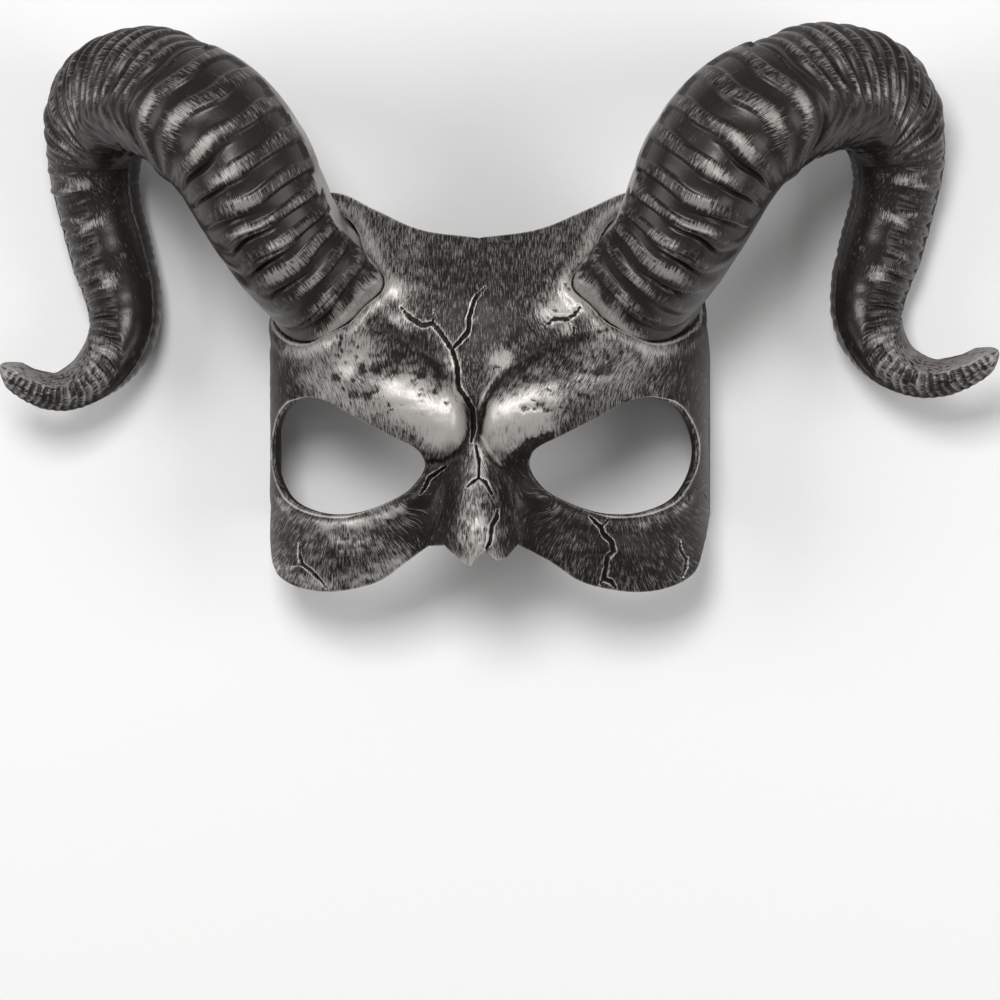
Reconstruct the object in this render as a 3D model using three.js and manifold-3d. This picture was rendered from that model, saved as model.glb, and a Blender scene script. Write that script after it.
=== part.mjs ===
// A horned half mask: a thin moulded shell that covers the brow, eyes and nose, with two ram's horns
// glued into raised collars on its forehead. It lies on its back, as it does when nobody wears it.
//
// Millimetres. +X is the viewer's right, +Y runs up the face and +Z comes out of the face.
// While it is shaped, y = 0 is the line of the eyes and z = 0 is the plane of the side rims.
// At the end everything is moved so that the origin is the middle of the underside.
import * as THREE from "three";
import { mergeVertices } from "three/addons/utils/BufferGeometryUtils.js";
import Module from "manifold-3d";

const wasm = await Module();
wasm.setup();

// Driving sizes of the shell
const HALF_WIDTH = 74.5; // from the middle of the nose to the outside of a temple
const CROWN_NARROWING = 8; // how much each side draws in from the temples to the top edge
const FRONT_DEPTH = 72; // from the rims to the front of the brow, before its relief
const DEPTH_DROP = 16; // how much lower the front is at the top and bottom edges
const DEEPEST_Y = 15;
const DROP_SPAN = 60;
const SKIRT = 14; // flat strip of each temple, beside the rim
const SQUARENESS = 2.4; // superellipse exponent of a level section
const GIRTH = 100; // length given to a level section from the nose to the skirt
const WALL = 1.8;
const RELIEF_FADE = 12; // the relief dies away over this much girth before the skirt
const RIM_LOW_Y = -22;
const RIM_HIGH_Y = 50;

// Driving sizes of the horns
const BASE_RADIUS = 21.8;
const GLUE_GAP = 0.3;
const HORN_SIDES = 12;
const RIDGE_HEIGHT = 0.055; // of the horn's radius
const RIDGE_PERIOD = { perRadius: 0.27, least: 1.2 };
const FIRST_RIDGE_AT = 22; // along the horn, from its foot inside the shell
const LAST_RIDGE = 0.9; // of the horn's length
// Angles round the horn, in radians: where the ridges are centred, and how far from there they reach
const RIDGED_FACE = { middle: 0.5, middleAtTip: 1.9, full: 1.1, none: 2.5 };
const SHOULDER = { middle: 2, half: 0.35, rise: 0.035 }; // where the ridged face turns under
const HOLLOW_INSIDE = { middle: 2.9, half: 0.6, fall: 0.05 };
// Where the horn folds behind itself, as shares of its length, and how much it swells before that
const FOLD = { at: 0.33, run: 0.11, gap: 0.003, step: 0.07, middle: 1.7, full: 0.9, none: 2 };
const TIP_ROWS = [0.925, 0.955, 0.98, 0.993];
const TIP_ROUNDING = 0.02; // of the horn's length
// How far each curl strays from the other's mirror image, and how much further its tip does
const STRAY = { x: 1.6, y: 2.2, leftTip: 4.2, rightTip: 1.8 };

const STRAP_SLOT = { length: 12, width: 3, y: 6, z: 9, cut: 20 };

const clamp01 = (t) => Math.min(1, Math.max(0, t));
const smooth = (low, high, t) => {
  const u = clamp01((t - low) / (high - low));
  return u * u * (3 - 2 * u);
};
const bell = (t) => Math.exp(-t * t);
const mix = (a, b, t) => a + (b - a) * t;

// A rounded swelling: an elliptical bell at (cx, cy), its long axis turned by `turn` radians.
function swelling(x, y, { cx, cy, turn = 0, long, short, height }) {
  const dx = x - cx;
  const dy = y - cy;
  const u = dx * Math.cos(turn) + dy * Math.sin(turn);
  const v = dy * Math.cos(turn) - dx * Math.sin(turn);
  return height * bell(Math.hypot(u / long, v / short));
}

// Smallest distance from (x, y) to a chain of straight steps.
function distanceToChain(x, y, chain) {
  let best = Infinity;
  for (let i = 1; i < chain.length; i++) {
    const [ax, ay] = chain[i - 1];
    const [bx, by] = chain[i];
    const dx = bx - ax;
    const dy = by - ay;
    const t = clamp01(((x - ax) * dx + (y - ay) * dy) / (dx * dx + dy * dy));
    best = Math.min(best, Math.hypot(x - ax - t * dx, y - ay - t * dy));
  }
  return best;
}

// The shell's plain form. g runs across the face from the nose (0) to a rim (GIRTH + SKIRT).
// Up to GIRTH it is a superellipse, and past it a flat skirt down to z = 0.
const halfWidthAt = (y) => HALF_WIDTH - CROWN_NARROWING * smooth(30, 84, y);
const depthAt = (y) => FRONT_DEPTH - DEPTH_DROP * ((y - DEEPEST_Y) / DROP_SPAN) ** 2;

function plainPoint(g, y) {
  const side = g < 0 ? -1 : 1;
  const across = Math.abs(g);
  const a = halfWidthAt(y);
  if (across >= GIRTH) return new THREE.Vector3(side * a, y, SKIRT + GIRTH - across);
  const turn = ((across / GIRTH) * Math.PI) / 2;
  const c = depthAt(y) - SKIRT;
  const reach =
    (Math.abs(Math.sin(turn) / a) ** SQUARENESS + Math.abs(Math.cos(turn) / c) ** SQUARENESS) **
    (-1 / SQUARENESS);
  return new THREE.Vector3(side * reach * Math.sin(turn), y, SKIRT + reach * Math.cos(turn));
}

// The g of a point that is seen from the front at (x, y).
function girthAt(x, y) {
  const a = halfWidthAt(y);
  const c = depthAt(y) - SKIRT;
  const share = Math.min(1, Math.abs(x) / a);
  const z = c * (1 - share ** SQUARENESS) ** (1 / SQUARENESS);
  return (Math.sign(x) * Math.atan2(share * a, z) * GIRTH * 2) / Math.PI;
}

// Relief is raised square to the level section, so that every feature keeps its height on the face.
const UP = new THREE.Vector3(0, 1, 0);
function sectionNormal(g, y) {
  const step = 0.2;
  return plainPoint(g + step, y)
    .sub(plainPoint(g - step, y))
    .cross(UP)
    .normalize();
}

// The horn's path: each station is [x, y, z, radius], for the horn on the +X side.
// It climbs out of the forehead, folds back on itself, hangs down to the floor that the mask lies on,
// and turns out and forward again at its tip.
const HORN_STATIONS = [
  [52, 53, 34, BASE_RADIUS],
  [54.2, 58, 50, BASE_RADIUS],
  [63, 68.5, 62.5, 22],
  [72, 82.8, 69.5, 22.6],
  [78.3, 94.5, 72, 23.2],
  [86.7, 105.6, 71, 23.1],
  [99.2, 114, 63.3, 22.6],
  [116, 120.6, 48, 21.9],
  [130.2, 117, 31, 20],
  [135.8, 105, 18.6, 17.5],
  [136.4, 93, 14.8, 15.6],
  [134.6, 82.5, 13.4, 14.6],
  [130.9, 68.5, 13.2, 14.5],
  [126.8, 54, 13.2, 13.3],
  [126.2, 43, 15.5, 12],
  [130.2, 33.2, 20.3, 10.3],
  [137.3, 25.9, 26, 8.2],
  [147.8, 21.8, 33, 6.4],
  [159, 24.2, 39, 5.4],
  [169.3, 31, 43, 4.2],
];
const hornPath = new THREE.CatmullRomCurve3(
  HORN_STATIONS.map(([x, y, z]) => new THREE.Vector3(x, y, z)),
  false,
  "centripetal",
);
hornPath.arcLengthDivisions = 800;
const HORN_LENGTH = hornPath.getLength();

// Radius at share t of the horn's length, by a smooth step between stations.
const stationLengths = HORN_STATIONS.map((_, i) => {
  const lengths = hornPath.getLengths();
  return lengths[Math.round((i / (HORN_STATIONS.length - 1)) * hornPath.arcLengthDivisions)];
});
const radiusCurve = new THREE.SplineCurve(
  HORN_STATIONS.map(([, , , r], i) => new THREE.Vector2(stationLengths[i], r)),
);
function hornRadius(t) {
  const at = t * HORN_LENGTH;
  const last = stationLengths.length - 1;
  let i = stationLengths.findIndex((l) => l > at) - 1;
  if (i < 0) i = at <= 0 ? 0 : last - 1;
  const part = clamp01((at - stationLengths[i]) / (stationLengths[i + 1] - stationLengths[i]));
  return radiusCurve.getPoint((i + part) / last).y;
}

const BASE_AXIS = new THREE.Line3(
  new THREE.Vector3(...HORN_STATIONS[0].slice(0, 3)),
  new THREE.Vector3(...HORN_STATIONS[2].slice(0, 3)),
);
function distanceToBaseAxis(point) {
  const mirrored = point.clone().setX(Math.abs(point.x));
  const foot = BASE_AXIS.closestPointToPoint(mirrored, false, new THREE.Vector3());
  return foot.distanceTo(mirrored);
}

// Outline of an eye hole, seen from the front, for the +X side
const EYE_OUTLINE = [
  [17.6, -6], [19.5, -0.6], [30, 5.2], [41.5, 11.2], [51, 16.4], [59, 17.4], [66.8, 13.6],
  [71.4, 3], [70.8, -6], [65.4, -15.8], [55, -20.8], [43, -21.4], [31, -18], [22, -12.8],
];
const EYE_CENTRE = [44, -3];
const EYE_STEPS = 240;

// Relief that the whole wall follows: brows, nose, cheeks.
const BROW_SPINE = [[11, 11], [21, 17], [34, 23.5], [52, 30]];
const BROW = { width: 14.5, height: 8.5, fullness: 1.15, fadeFrom: 38, fadeTo: 62 };
const FOREHEAD = { cx: 0, cy: 50, long: 24, short: 20, height: 3 };
const NOSE_ROOT = { cx: 0, cy: 8, turn: Math.PI / 2, long: 12, short: 4.5, height: -4 };
const NOSE_SIDE = { cx: 14, cy: -9, turn: 1.2, long: 12, short: 6.5, height: -4 };
const CHEEK = { cx: 46, cy: -35, turn: -0.12, long: 26, short: 7.5, height: 2.8 };
const BROW_FURROW = [[1, 10], [4, 20], [10, 27], [21, 34], [33, 39]];
const FURROW = { half: 4.4, depth: 1.6, backing: 1, backingHalf: 7 };
const NOSE = { topY: 4, tipY: -34, height: 18, topHalf: 5, tipHalf: 10.5, flatness: 1.4 };

function broadRelief(x, y) {
  const ax = Math.abs(x);
  const across = distanceToChain(ax, y, BROW_SPINE) / BROW.width;
  const dome = Math.max(0, 1 - across * across) ** BROW.fullness;
  const brow = BROW.height * dome * (1 - smooth(BROW.fadeFrom, BROW.fadeTo, ax));
  const down = smooth(NOSE.topY, NOSE.tipY, y);
  const noseHalf = mix(NOSE.topHalf, NOSE.tipHalf, down);
  const nose = NOSE.height * down * bell((ax / noseHalf) ** NOSE.flatness);
  const furrow = -FURROW.depth * bell(distanceToChain(ax, y, BROW_FURROW) / FURROW.half);
  return (
    brow +
    furrow +
    nose +
    swelling(ax, y, FOREHEAD) +
    swelling(ax, y, NOSE_ROOT) +
    swelling(ax, y, NOSE_SIDE) +
    swelling(ax, y, CHEEK)
  );
}

// The eye's outline, seen from the front and laid out on the face as [g, y]
const eyeOnFace = new THREE.CatmullRomCurve3(
  EYE_OUTLINE.map(([x, y]) => new THREE.Vector3(x, y, 0)),
  true,
  "centripetal",
)
  .getPoints(EYE_STEPS)
  .map((p) => [girthAt(p.x, p.y), p.y]);
const eyeMiddle = [girthAt(EYE_CENTRE[0], EYE_CENTRE[1]), EYE_CENTRE[1]];

// Relief of the outer face alone: a lip round each eye and a collar round each horn
const EYE_LIP = { height: 1.1, middle: 2.6, half: 2.2 };
const COLLAR = { height: 2.2, middle: 2.4, half: 2.6 };

function fineRelief(g, y, point) {
  const fromEye = distanceToChain(Math.abs(g), y, eyeOnFace);
  const fromHorn = distanceToBaseAxis(point) - BASE_RADIUS;
  return (
    EYE_LIP.height * bell((fromEye - EYE_LIP.middle) / EYE_LIP.half) +
    COLLAR.height * bell((fromHorn - COLLAR.middle) / COLLAR.half)
  );
}

// The wall's broad form, which both its faces follow, and the direction square to it
function broadPoint(g, y) {
  const point = plainPoint(g, y);
  const fade = 1 - smooth(GIRTH - RELIEF_FADE, GIRTH, Math.abs(g));
  return point.addScaledVector(sectionNormal(g, y), broadRelief(point.x, y) * fade);
}

function broadNormal(g, y) {
  const step = 0.4;
  const alongG = broadPoint(g + step, y).sub(broadPoint(g - step, y));
  const alongY = broadPoint(g, y + step).sub(broadPoint(g, y - step));
  return alongG.cross(alongY).normalize();
}

const outerPoint = (g, y, lift = 0) => {
  const point = broadPoint(g, y);
  const fine = fineRelief(g, y, point);
  return point.addScaledVector(sectionNormal(g, y), fine + lift);
};
// The inner face keeps clear of the furrow, where the wall is thicker.
const innerPoint = (g, y) => {
  const point = broadPoint(g, y);
  const fromFurrow = distanceToChain(Math.abs(point.x), y, BROW_FURROW);
  const backing = FURROW.backing * bell(fromFurrow / FURROW.backingHalf);
  return point.addScaledVector(broadNormal(g, y), -WALL - backing);
};

// Edges of the shell, seen from the front, as [x, y] for the +X side.
// The nose ends in two broken points, which differ from side to side.
const NOSE_EDGE = {
  right: [[0, -36.6], [3.9, -33.7], [7.2, -37], [10, -36], [13.6, -31.7]],
  left: [[0, -36.6], [1.2, -39], [4.2, -37.4], [10.6, -31.9], [16.4, -32.2]],
};
const CHEEK_EDGE = [[24, -37.6], [33, -43.8], [43, -46.8], [53, -47.8], [62, -46.4], [69.5, -42]];
const TOP_EDGE = [[0, 71], [20, 74], [36, 81], [50, 87], [60, 86], [66.5, 77]];
// Where the edges run on round the temple, laid out on the face as [g, y]
const CHEEK_TO_RIM = [[88, -34], [102, -25]];
const RIM_TO_TOP = [[106, 62]];

const onFace = (points) => points.map(([x, y]) => [girthAt(x, y), y]);

function along(points, steps) {
  const curve = new THREE.CatmullRomCurve3(
    points.map(([g, y]) => new THREE.Vector3(g, y, 0)),
    false,
    "centripetal",
  );
  return curve.getSpacedPoints(steps).map((p) => [p.x, p.y]);
}

const STEPS = { centre: 16, top: 10, rim: 2, cheek: 15 };

// The whole edge of one half, as a closed loop of [g, y]: nose, cheek, rim, top, middle line
function halfOutline(nose) {
  const noseEdge = onFace(nose);
  const notch = noseEdge[noseEdge.length - 1];
  const rimLow = [GIRTH + SKIRT, RIM_LOW_Y];
  const rimHigh = [GIRTH + SKIRT, RIM_HIGH_Y];
  const cheek = along([notch, ...onFace(CHEEK_EDGE), ...CHEEK_TO_RIM, rimLow], STEPS.cheek);
  const rim = along([rimLow, rimHigh], STEPS.rim);
  const top = along([rimHigh, ...RIM_TO_TOP, ...onFace(TOP_EDGE).reverse()], STEPS.top);
  const centre = along([[0, TOP_EDGE[0][1]], noseEdge[0]], STEPS.centre);
  return [noseEdge, cheek, rim, top, centre].flatMap((edge) => edge.slice(0, -1));
}

// Point of the eye's outline on the ray from the eye's centre through (g, y)
function eyeTowards(g, y) {
  const wanted = Math.atan2(y - eyeMiddle[1], g - eyeMiddle[0]);
  for (let i = 1; i < eyeOnFace.length; i++) {
    const [g0, y0] = eyeOnFace[i - 1];
    const [g1, y1] = eyeOnFace[i];
    const from = Math.atan2(y0 - eyeMiddle[1], g0 - eyeMiddle[0]) - wanted;
    const to = Math.atan2(y1 - eyeMiddle[1], g1 - eyeMiddle[0]) - wanted;
    const a = Math.atan2(Math.sin(from), Math.cos(from));
    const b = Math.atan2(Math.sin(to), Math.cos(to));
    if (a * b <= 0 && Math.abs(a - b) < Math.PI) {
      const t = a === b ? 0 : a / (a - b);
      return [mix(g0, g1, t), mix(y0, y1, t)];
    }
  }
  throw new Error("the eye's outline doesn't go round its centre");
}

const ROWS = 11; // rows of each face from an eye to the edge
const rowShare = (i) => (i / ROWS) ** 0.9; // the outer rows lie a little closer together

// Triangles of a band between two closed loops of the same length
function band(triangles, loopA, loopB, flip) {
  const n = loopA.length;
  for (let i = 0; i < n; i++) {
    const j = (i + 1) % n;
    const quad = flip
      ? [loopA[i], loopB[i], loopB[j], loopA[j]]
      : [loopA[i], loopA[j], loopB[j], loopB[i]];
    triangles.push([quad[0], quad[1], quad[2]], [quad[0], quad[2], quad[3]]);
  }
}

// Loops of points from the eye hole to the outer edge, on one face of the wall.
// The rim's points are set flat on z = 0, and the middle line's on x = 0.
function faceLoops(outline, side, facePoint) {
  const loops = [];
  for (let row = 0; row <= ROWS; row++) {
    loops.push(
      outline.map(([g, y]) => {
        const [eyeG, eyeY] = eyeTowards(g, y);
        const t = rowShare(row);
        const point = facePoint(side * mix(eyeG, g, t), mix(eyeY, y, t));
        if (g >= GIRTH + SKIRT && row === ROWS) point.z = 0;
        if (g === 0 && row === ROWS) point.x = 0;
        return point;
      }),
    );
  }
  return loops;
}

// A closed body of triangles, as a manifold-3d solid
function solidFromTriangles(triangles) {
  const positions = [];
  for (const triangle of triangles) for (const p of triangle) positions.push(p.x, p.y, p.z);
  const soup = new THREE.BufferGeometry();
  soup.setAttribute("position", new THREE.Float32BufferAttribute(positions, 3));
  const merged = mergeVertices(soup, 1e-4);
  return new wasm.Manifold(
    new wasm.Mesh({
      numProp: 3,
      vertProperties: merged.attributes.position.array,
      triVerts: new Uint32Array(merged.index.array),
    }),
  );
}

function geometryFromSolid(solid) {
  const mesh = solid.getMesh();
  const points = new Float32Array(mesh.numVert * 3);
  for (let i = 0; i < mesh.numVert; i++)
    points.set(mesh.vertProperties.subarray(i * mesh.numProp, i * mesh.numProp + 3), i * 3);
  const geometry = new THREE.BufferGeometry();
  geometry.setAttribute("position", new THREE.BufferAttribute(points, 3));
  geometry.setIndex(new THREE.BufferAttribute(mesh.triVerts, 1));
  geometry.computeVertexNormals();
  return geometry;
}

// The whole shell: both halves share the points of the middle line, so they close into one body.
function shellTriangles() {
  const triangles = [];
  for (const [side, nose] of [[1, NOSE_EDGE.right], [-1, NOSE_EDGE.left]]) {
    const outline = halfOutline(nose);
    const outer = faceLoops(outline, side, outerPoint);
    const inner = faceLoops(outline, side, innerPoint);
    const flip = side > 0;
    for (let i = 1; i < outer.length; i++) band(triangles, outer[i - 1], outer[i], flip);
    for (let i = 1; i < inner.length; i++) band(triangles, inner[i - 1], inner[i], !flip);
    band(triangles, inner[0], outer[0], flip);
    const outerEdge = outer[outer.length - 1];
    const innerEdge = inner[inner.length - 1];
    const wall = [];
    band(wall, outerEdge, innerEdge, flip);
    const n = outline.length;
    for (let i = 0; i < n; i++) {
      const onMiddle = outline[i][0] === 0 && outline[(i + 1) % n][0] === 0;
      if (!onMiddle) triangles.push(wall[2 * i], wall[2 * i + 1]);
    }
  }
  return triangles;
}

// Everything between the shell's outer face, raised by the glue gap, and a small core inside the
// hollow. A horn's foot is cut to fit with it.
const CORE = { share: 0.2, drop: 8 };
function underShell(side) {
  const outline = halfOutline(side > 0 ? NOSE_EDGE.right : NOSE_EDGE.left);
  const top = faceLoops(outline, side, (g, y) => outerPoint(g, y, GLUE_GAP));
  const toCore = (p) => new THREE.Vector3(p.x * CORE.share, p.y, p.z * CORE.share - CORE.drop);
  const core = top.map((loop) => loop.map(toCore));
  const triangles = [];
  const flip = side > 0;
  for (let i = 1; i < top.length; i++) {
    band(triangles, top[i - 1], top[i], flip);
    band(triangles, core[i - 1], core[i], !flip);
  }
  band(triangles, core[0], top[0], flip);
  band(triangles, top[top.length - 1], core[core.length - 1], flip);
  return solidFromTriangles(triangles);
}

// A long slot with round ends through each temple, for an elastic band
function strapSlot(side) {
  const half = STRAP_SLOT.length / 2 - STRAP_SLOT.width / 2;
  const radius = STRAP_SLOT.width / 2;
  const shape = new THREE.Shape();
  shape.absarc(half, 0, radius, -Math.PI / 2, Math.PI / 2, false);
  shape.absarc(-half, 0, radius, Math.PI / 2, (3 * Math.PI) / 2, false);
  const geometry = new THREE.ExtrudeGeometry(shape, {
    depth: STRAP_SLOT.cut,
    bevelEnabled: false,
    curveSegments: 4,
  });
  geometry.translate(0, 0, -STRAP_SLOT.cut / 2);
  geometry.rotateZ(Math.PI / 2);
  geometry.rotateY(Math.PI / 2);
  geometry.translate(side * HALF_WIDTH, STRAP_SLOT.y, STRAP_SLOT.z);
  return solidFromGeometry(geometry);
}

function solidFromGeometry(geometry) {
  const bare = geometry.index ? geometry.toNonIndexed() : geometry;
  const p = bare.getAttribute("position");
  const triangles = [];
  for (let i = 0; i < p.count; i += 3)
    triangles.push([0, 1, 2].map((k) => new THREE.Vector3().fromBufferAttribute(p, i + k)));
  return solidFromTriangles(triangles);
}

// The horn. Round it, angle 0 is the outside of the curl, 90 degrees the front and 180 the inside.
const FORWARD = new THREE.Vector3(0, 0, 1);
function hornFrame(t) {
  const centre = hornPath.getPointAt(t);
  const tangent = hornPath.getTangentAt(t);
  const front = FORWARD.clone().addScaledVector(tangent, -FORWARD.dot(tangent)).normalize();
  const outside = front.clone().cross(tangent).normalize();
  return { centre, front, outside };
}

const angleBetween = (a, b) => Math.abs(Math.atan2(Math.sin(a - b), Math.cos(a - b)));

// How strongly the ridges stand out: full outside and in front, none inside; lower down at the tip.
function ridgeStrength(angle, t) {
  const middle = mix(RIDGED_FACE.middle, RIDGED_FACE.middleAtTip, smooth(0.6, 0.95, t));
  return 1 - smooth(RIDGED_FACE.full, RIDGED_FACE.none, angleBetween(angle, middle));
}

// Radius round the horn, as a share: a shoulder and a flatter inside
function roundness(angle) {
  const shoulder = SHOULDER.rise * bell(angleBetween(angle, SHOULDER.middle) / SHOULDER.half);
  const hollow = HOLLOW_INSIDE.fall * bell(angleBetween(angle, HOLLOW_INSIDE.middle) / HOLLOW_INSIDE.half);
  return 1 + shoulder - hollow;
}

// Before the fold the horn swells, and after it the horn comes out from behind, narrower.
function foldStep(angle, t) {
  const swell = t <= FOLD.at ? smooth(FOLD.at - FOLD.run, FOLD.at, t) : 0;
  return 1 + FOLD.step * swell * (1 - smooth(FOLD.full, FOLD.none, angleBetween(angle, FOLD.middle)));
}

// The horn's rings, from foot to tip: one in each groove (lift 0) and one on each ridge (lift 1)
function hornRows() {
  const rows = [{ t: 0, lift: 0 }];
  let at = FIRST_RIDGE_AT;
  let folded = false;
  while (at < HORN_LENGTH * LAST_RIDGE) {
    const period = RIDGE_PERIOD.perRadius * hornRadius(at / HORN_LENGTH) + RIDGE_PERIOD.least;
    if (!folded && at + period > FOLD.at * HORN_LENGTH) {
      const after = FOLD.at + FOLD.gap;
      rows.push({ t: FOLD.at, lift: 0 }, { t: after, lift: 0 });
      at = after * HORN_LENGTH + 0.5 * period;
      folded = true;
      continue;
    }
    rows.push({ t: at / HORN_LENGTH, lift: 0 });
    rows.push({ t: (at + 0.5 * period) / HORN_LENGTH, lift: 1 });
    at += period;
  }
  for (const t of TIP_ROWS) rows.push({ t, lift: 0 });
  return rows;
}

// A point of the horn in its own place: on its side of the mask, strayed, and not under the floor.
function setHornPoint(point, side, t) {
  const tip = side > 0 ? STRAY.rightTip : STRAY.leftTip;
  const x = side * point.x + STRAY.x * smooth(0, 0.6, t) + tip * smooth(0.85, 1, t);
  const y = point.y + side * STRAY.y * smooth(0.5, 1, t);
  return point.set(x, y, Math.max(0, point.z));
}

function hornSolid(side) {
  const loops = hornRows().map(({ t, lift }) => {
    const { centre, front, outside } = hornFrame(t);
    const radius = hornRadius(t) * Math.sqrt(clamp01((1 - t) / TIP_ROUNDING));
    return Array.from({ length: HORN_SIDES }, (_, k) => {
      const angle = (k / HORN_SIDES) * 2 * Math.PI;
      const ridge = 1 + lift * RIDGE_HEIGHT * ridgeStrength(angle, t);
      const size = radius * roundness(angle) * foldStep(angle, t) * ridge;
      const point = centre
        .clone()
        .addScaledVector(outside, size * Math.cos(angle))
        .addScaledVector(front, size * Math.sin(angle));
      return setHornPoint(point, side, t);
    });
  });
  const triangles = [];
  const flip = side < 0;
  for (let i = 1; i < loops.length; i++) band(triangles, loops[i - 1], loops[i], flip);
  const foot = setHornPoint(hornPath.getPointAt(0), side, 0);
  const tip = setHornPoint(hornPath.getPointAt(1), side, 1);
  const first = loops[0];
  const last = loops[loops.length - 1];
  for (let k = 0; k < HORN_SIDES; k++) {
    const next = (k + 1) % HORN_SIDES;
    triangles.push(flip ? [foot, first[k], first[next]] : [foot, first[next], first[k]]);
    triangles.push(flip ? [tip, last[next], last[k]] : [tip, last[k], last[next]]);
  }
  return solidFromTriangles(triangles);
}

// Cracks in the outer face, each a chain of [x, y] seen from the front
const CRACKS = [
  [
    [-25, 47.5], [-20, 44], [-16, 41], [-11, 37], [-7.7, 34], [-6, 28], [-5.7, 22], [-3.7, 18],
    [-1, 14], [-1.3, 9], [-1.8, 4.5],
  ],
  [[-7.7, 34], [-3.5, 38.3], [-2.2, 41.4], [-2.4, 45.5], [-0.7, 50], [3.2, 54]],
  [[34.7, 48], [32.3, 45], [27.2, 44], [23, 41]],
  [[0, 2.4], [0.8, -4], [0.8, -8.6], [2.2, -10.1], [4, -13.3], [6.5, -17.5]],
  [[0.8, -8.6], [-2.2, -12], [-3.6, -12.4]],
  [[-60.5, -31], [-60, -37], [-56.3, -39.7], [-52.5, -45.5]],
  [[36, -21.5], [40.5, -25.7], [40.8, -28], [44, -31], [42, -37], [41, -42]],
];
const CRACK = { half: 0.9, depth: 1, endDepth: 0.3, clear: 1.6 };

// A V-shaped bar along a crack, its edge `depth` under the outer face
function crackBar(chain) {
  const at = ([x, y]) => {
    const g = girthAt(x, y);
    const point = outerPoint(g, y);
    const normal = sectionNormal(g, y);
    return { point, normal };
  };
  const nodes = chain.map(at);
  const top = (CRACK.half * (CRACK.depth + CRACK.clear)) / CRACK.depth;
  const loops = nodes.map(({ point, normal }, i) => {
    const before = nodes[Math.max(0, i - 1)].point;
    const after = nodes[Math.min(nodes.length - 1, i + 1)].point;
    const ahead = after.clone().sub(before).normalize();
    const sideways = ahead.clone().cross(normal).normalize();
    const atEnd = i === 0 || i === nodes.length - 1;
    return [
      point.clone().addScaledVector(normal, atEnd ? -CRACK.endDepth : -CRACK.depth),
      point.clone().addScaledVector(normal, CRACK.clear).addScaledVector(sideways, top),
      point.clone().addScaledVector(normal, CRACK.clear).addScaledVector(sideways, -top),
    ];
  });
  const triangles = [];
  for (let i = 1; i < loops.length; i++) band(triangles, loops[i - 1], loops[i], true);
  triangles.push(loops[0], [...loops[loops.length - 1]].reverse());
  return solidFromTriangles(triangles);
}

const shellMaterial = new THREE.MeshStandardMaterial({
  color: 0x6f6d6a,
  roughness: 0.42,
  metalness: 0.55,
});
const hornMaterial = new THREE.MeshStandardMaterial({
  color: 0x4a4643,
  roughness: 0.45,
  metalness: 0.45,
});

const cuts = [strapSlot(1), strapSlot(-1), ...CRACKS.map(crackBar)];
const shell = cuts.reduce((solid, cut) => solid.subtract(cut), solidFromTriangles(shellTriangles()));

const mask = new THREE.Group();
function place(name, solid, material) {
  const mesh = new THREE.Mesh(geometryFromSolid(solid), material);
  mesh.name = name;
  mask.add(mesh);
}
place("mask_shell", shell, shellMaterial);
place("horn_right", hornSolid(1).subtract(underShell(1)), hornMaterial);
place("horn_left", hornSolid(-1).subtract(underShell(-1)), hornMaterial);

// The origin: the middle of the underside
const box = new THREE.Box3().setFromObject(mask);
const middle = box.getCenter(new THREE.Vector3());
mask.position.set(-middle.x, -middle.y, -box.min.z);

export default mask;
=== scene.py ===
"""A horned half mask of moulded plastic: a scowling, cracked shell for the brow, eyes and nose, and two
curled ram's horns, all of it black and dry-brushed with silver. It lies on its back on a pale floor.

The shape functions work in millimetres, in the frame that the mask is shaped in: x = 0 is the middle of
the face, y = 0 the line of the eyes and z = 0 the plane of the side rims. in_row_frame() turns their
points into metres in the row's own frame.
"""

import functools

import bpy
import numpy as np
from bpy.props import FloatProperty, FloatVectorProperty, PointerProperty
from mathutils import Matrix, Vector


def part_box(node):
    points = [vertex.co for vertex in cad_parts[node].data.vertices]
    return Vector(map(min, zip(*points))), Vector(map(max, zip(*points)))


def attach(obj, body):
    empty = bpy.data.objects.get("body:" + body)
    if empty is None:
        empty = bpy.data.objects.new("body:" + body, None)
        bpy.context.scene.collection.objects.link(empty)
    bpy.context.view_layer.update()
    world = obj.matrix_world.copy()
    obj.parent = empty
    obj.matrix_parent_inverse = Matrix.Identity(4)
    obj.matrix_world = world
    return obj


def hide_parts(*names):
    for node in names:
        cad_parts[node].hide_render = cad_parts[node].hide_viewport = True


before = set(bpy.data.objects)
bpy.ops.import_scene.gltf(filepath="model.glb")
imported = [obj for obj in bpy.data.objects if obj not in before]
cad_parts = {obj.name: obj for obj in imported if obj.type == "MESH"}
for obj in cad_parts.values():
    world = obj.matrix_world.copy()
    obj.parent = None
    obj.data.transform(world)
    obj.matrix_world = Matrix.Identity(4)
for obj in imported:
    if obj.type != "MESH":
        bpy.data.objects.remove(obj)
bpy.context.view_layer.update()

bl_info = {
    "name": "Horned half mask",
    "version": (1, 0, 0),
    "blender": (4, 5, 0),
    "location": "3D View > Sidebar > Half Mask",
    "description": "Builds a cracked half mask with two ram's horns, its finishes and its stage",
    "category": "Object",
}

MM = 0.001
LATTICE = 61
FAR_OFF = 9.0

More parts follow.
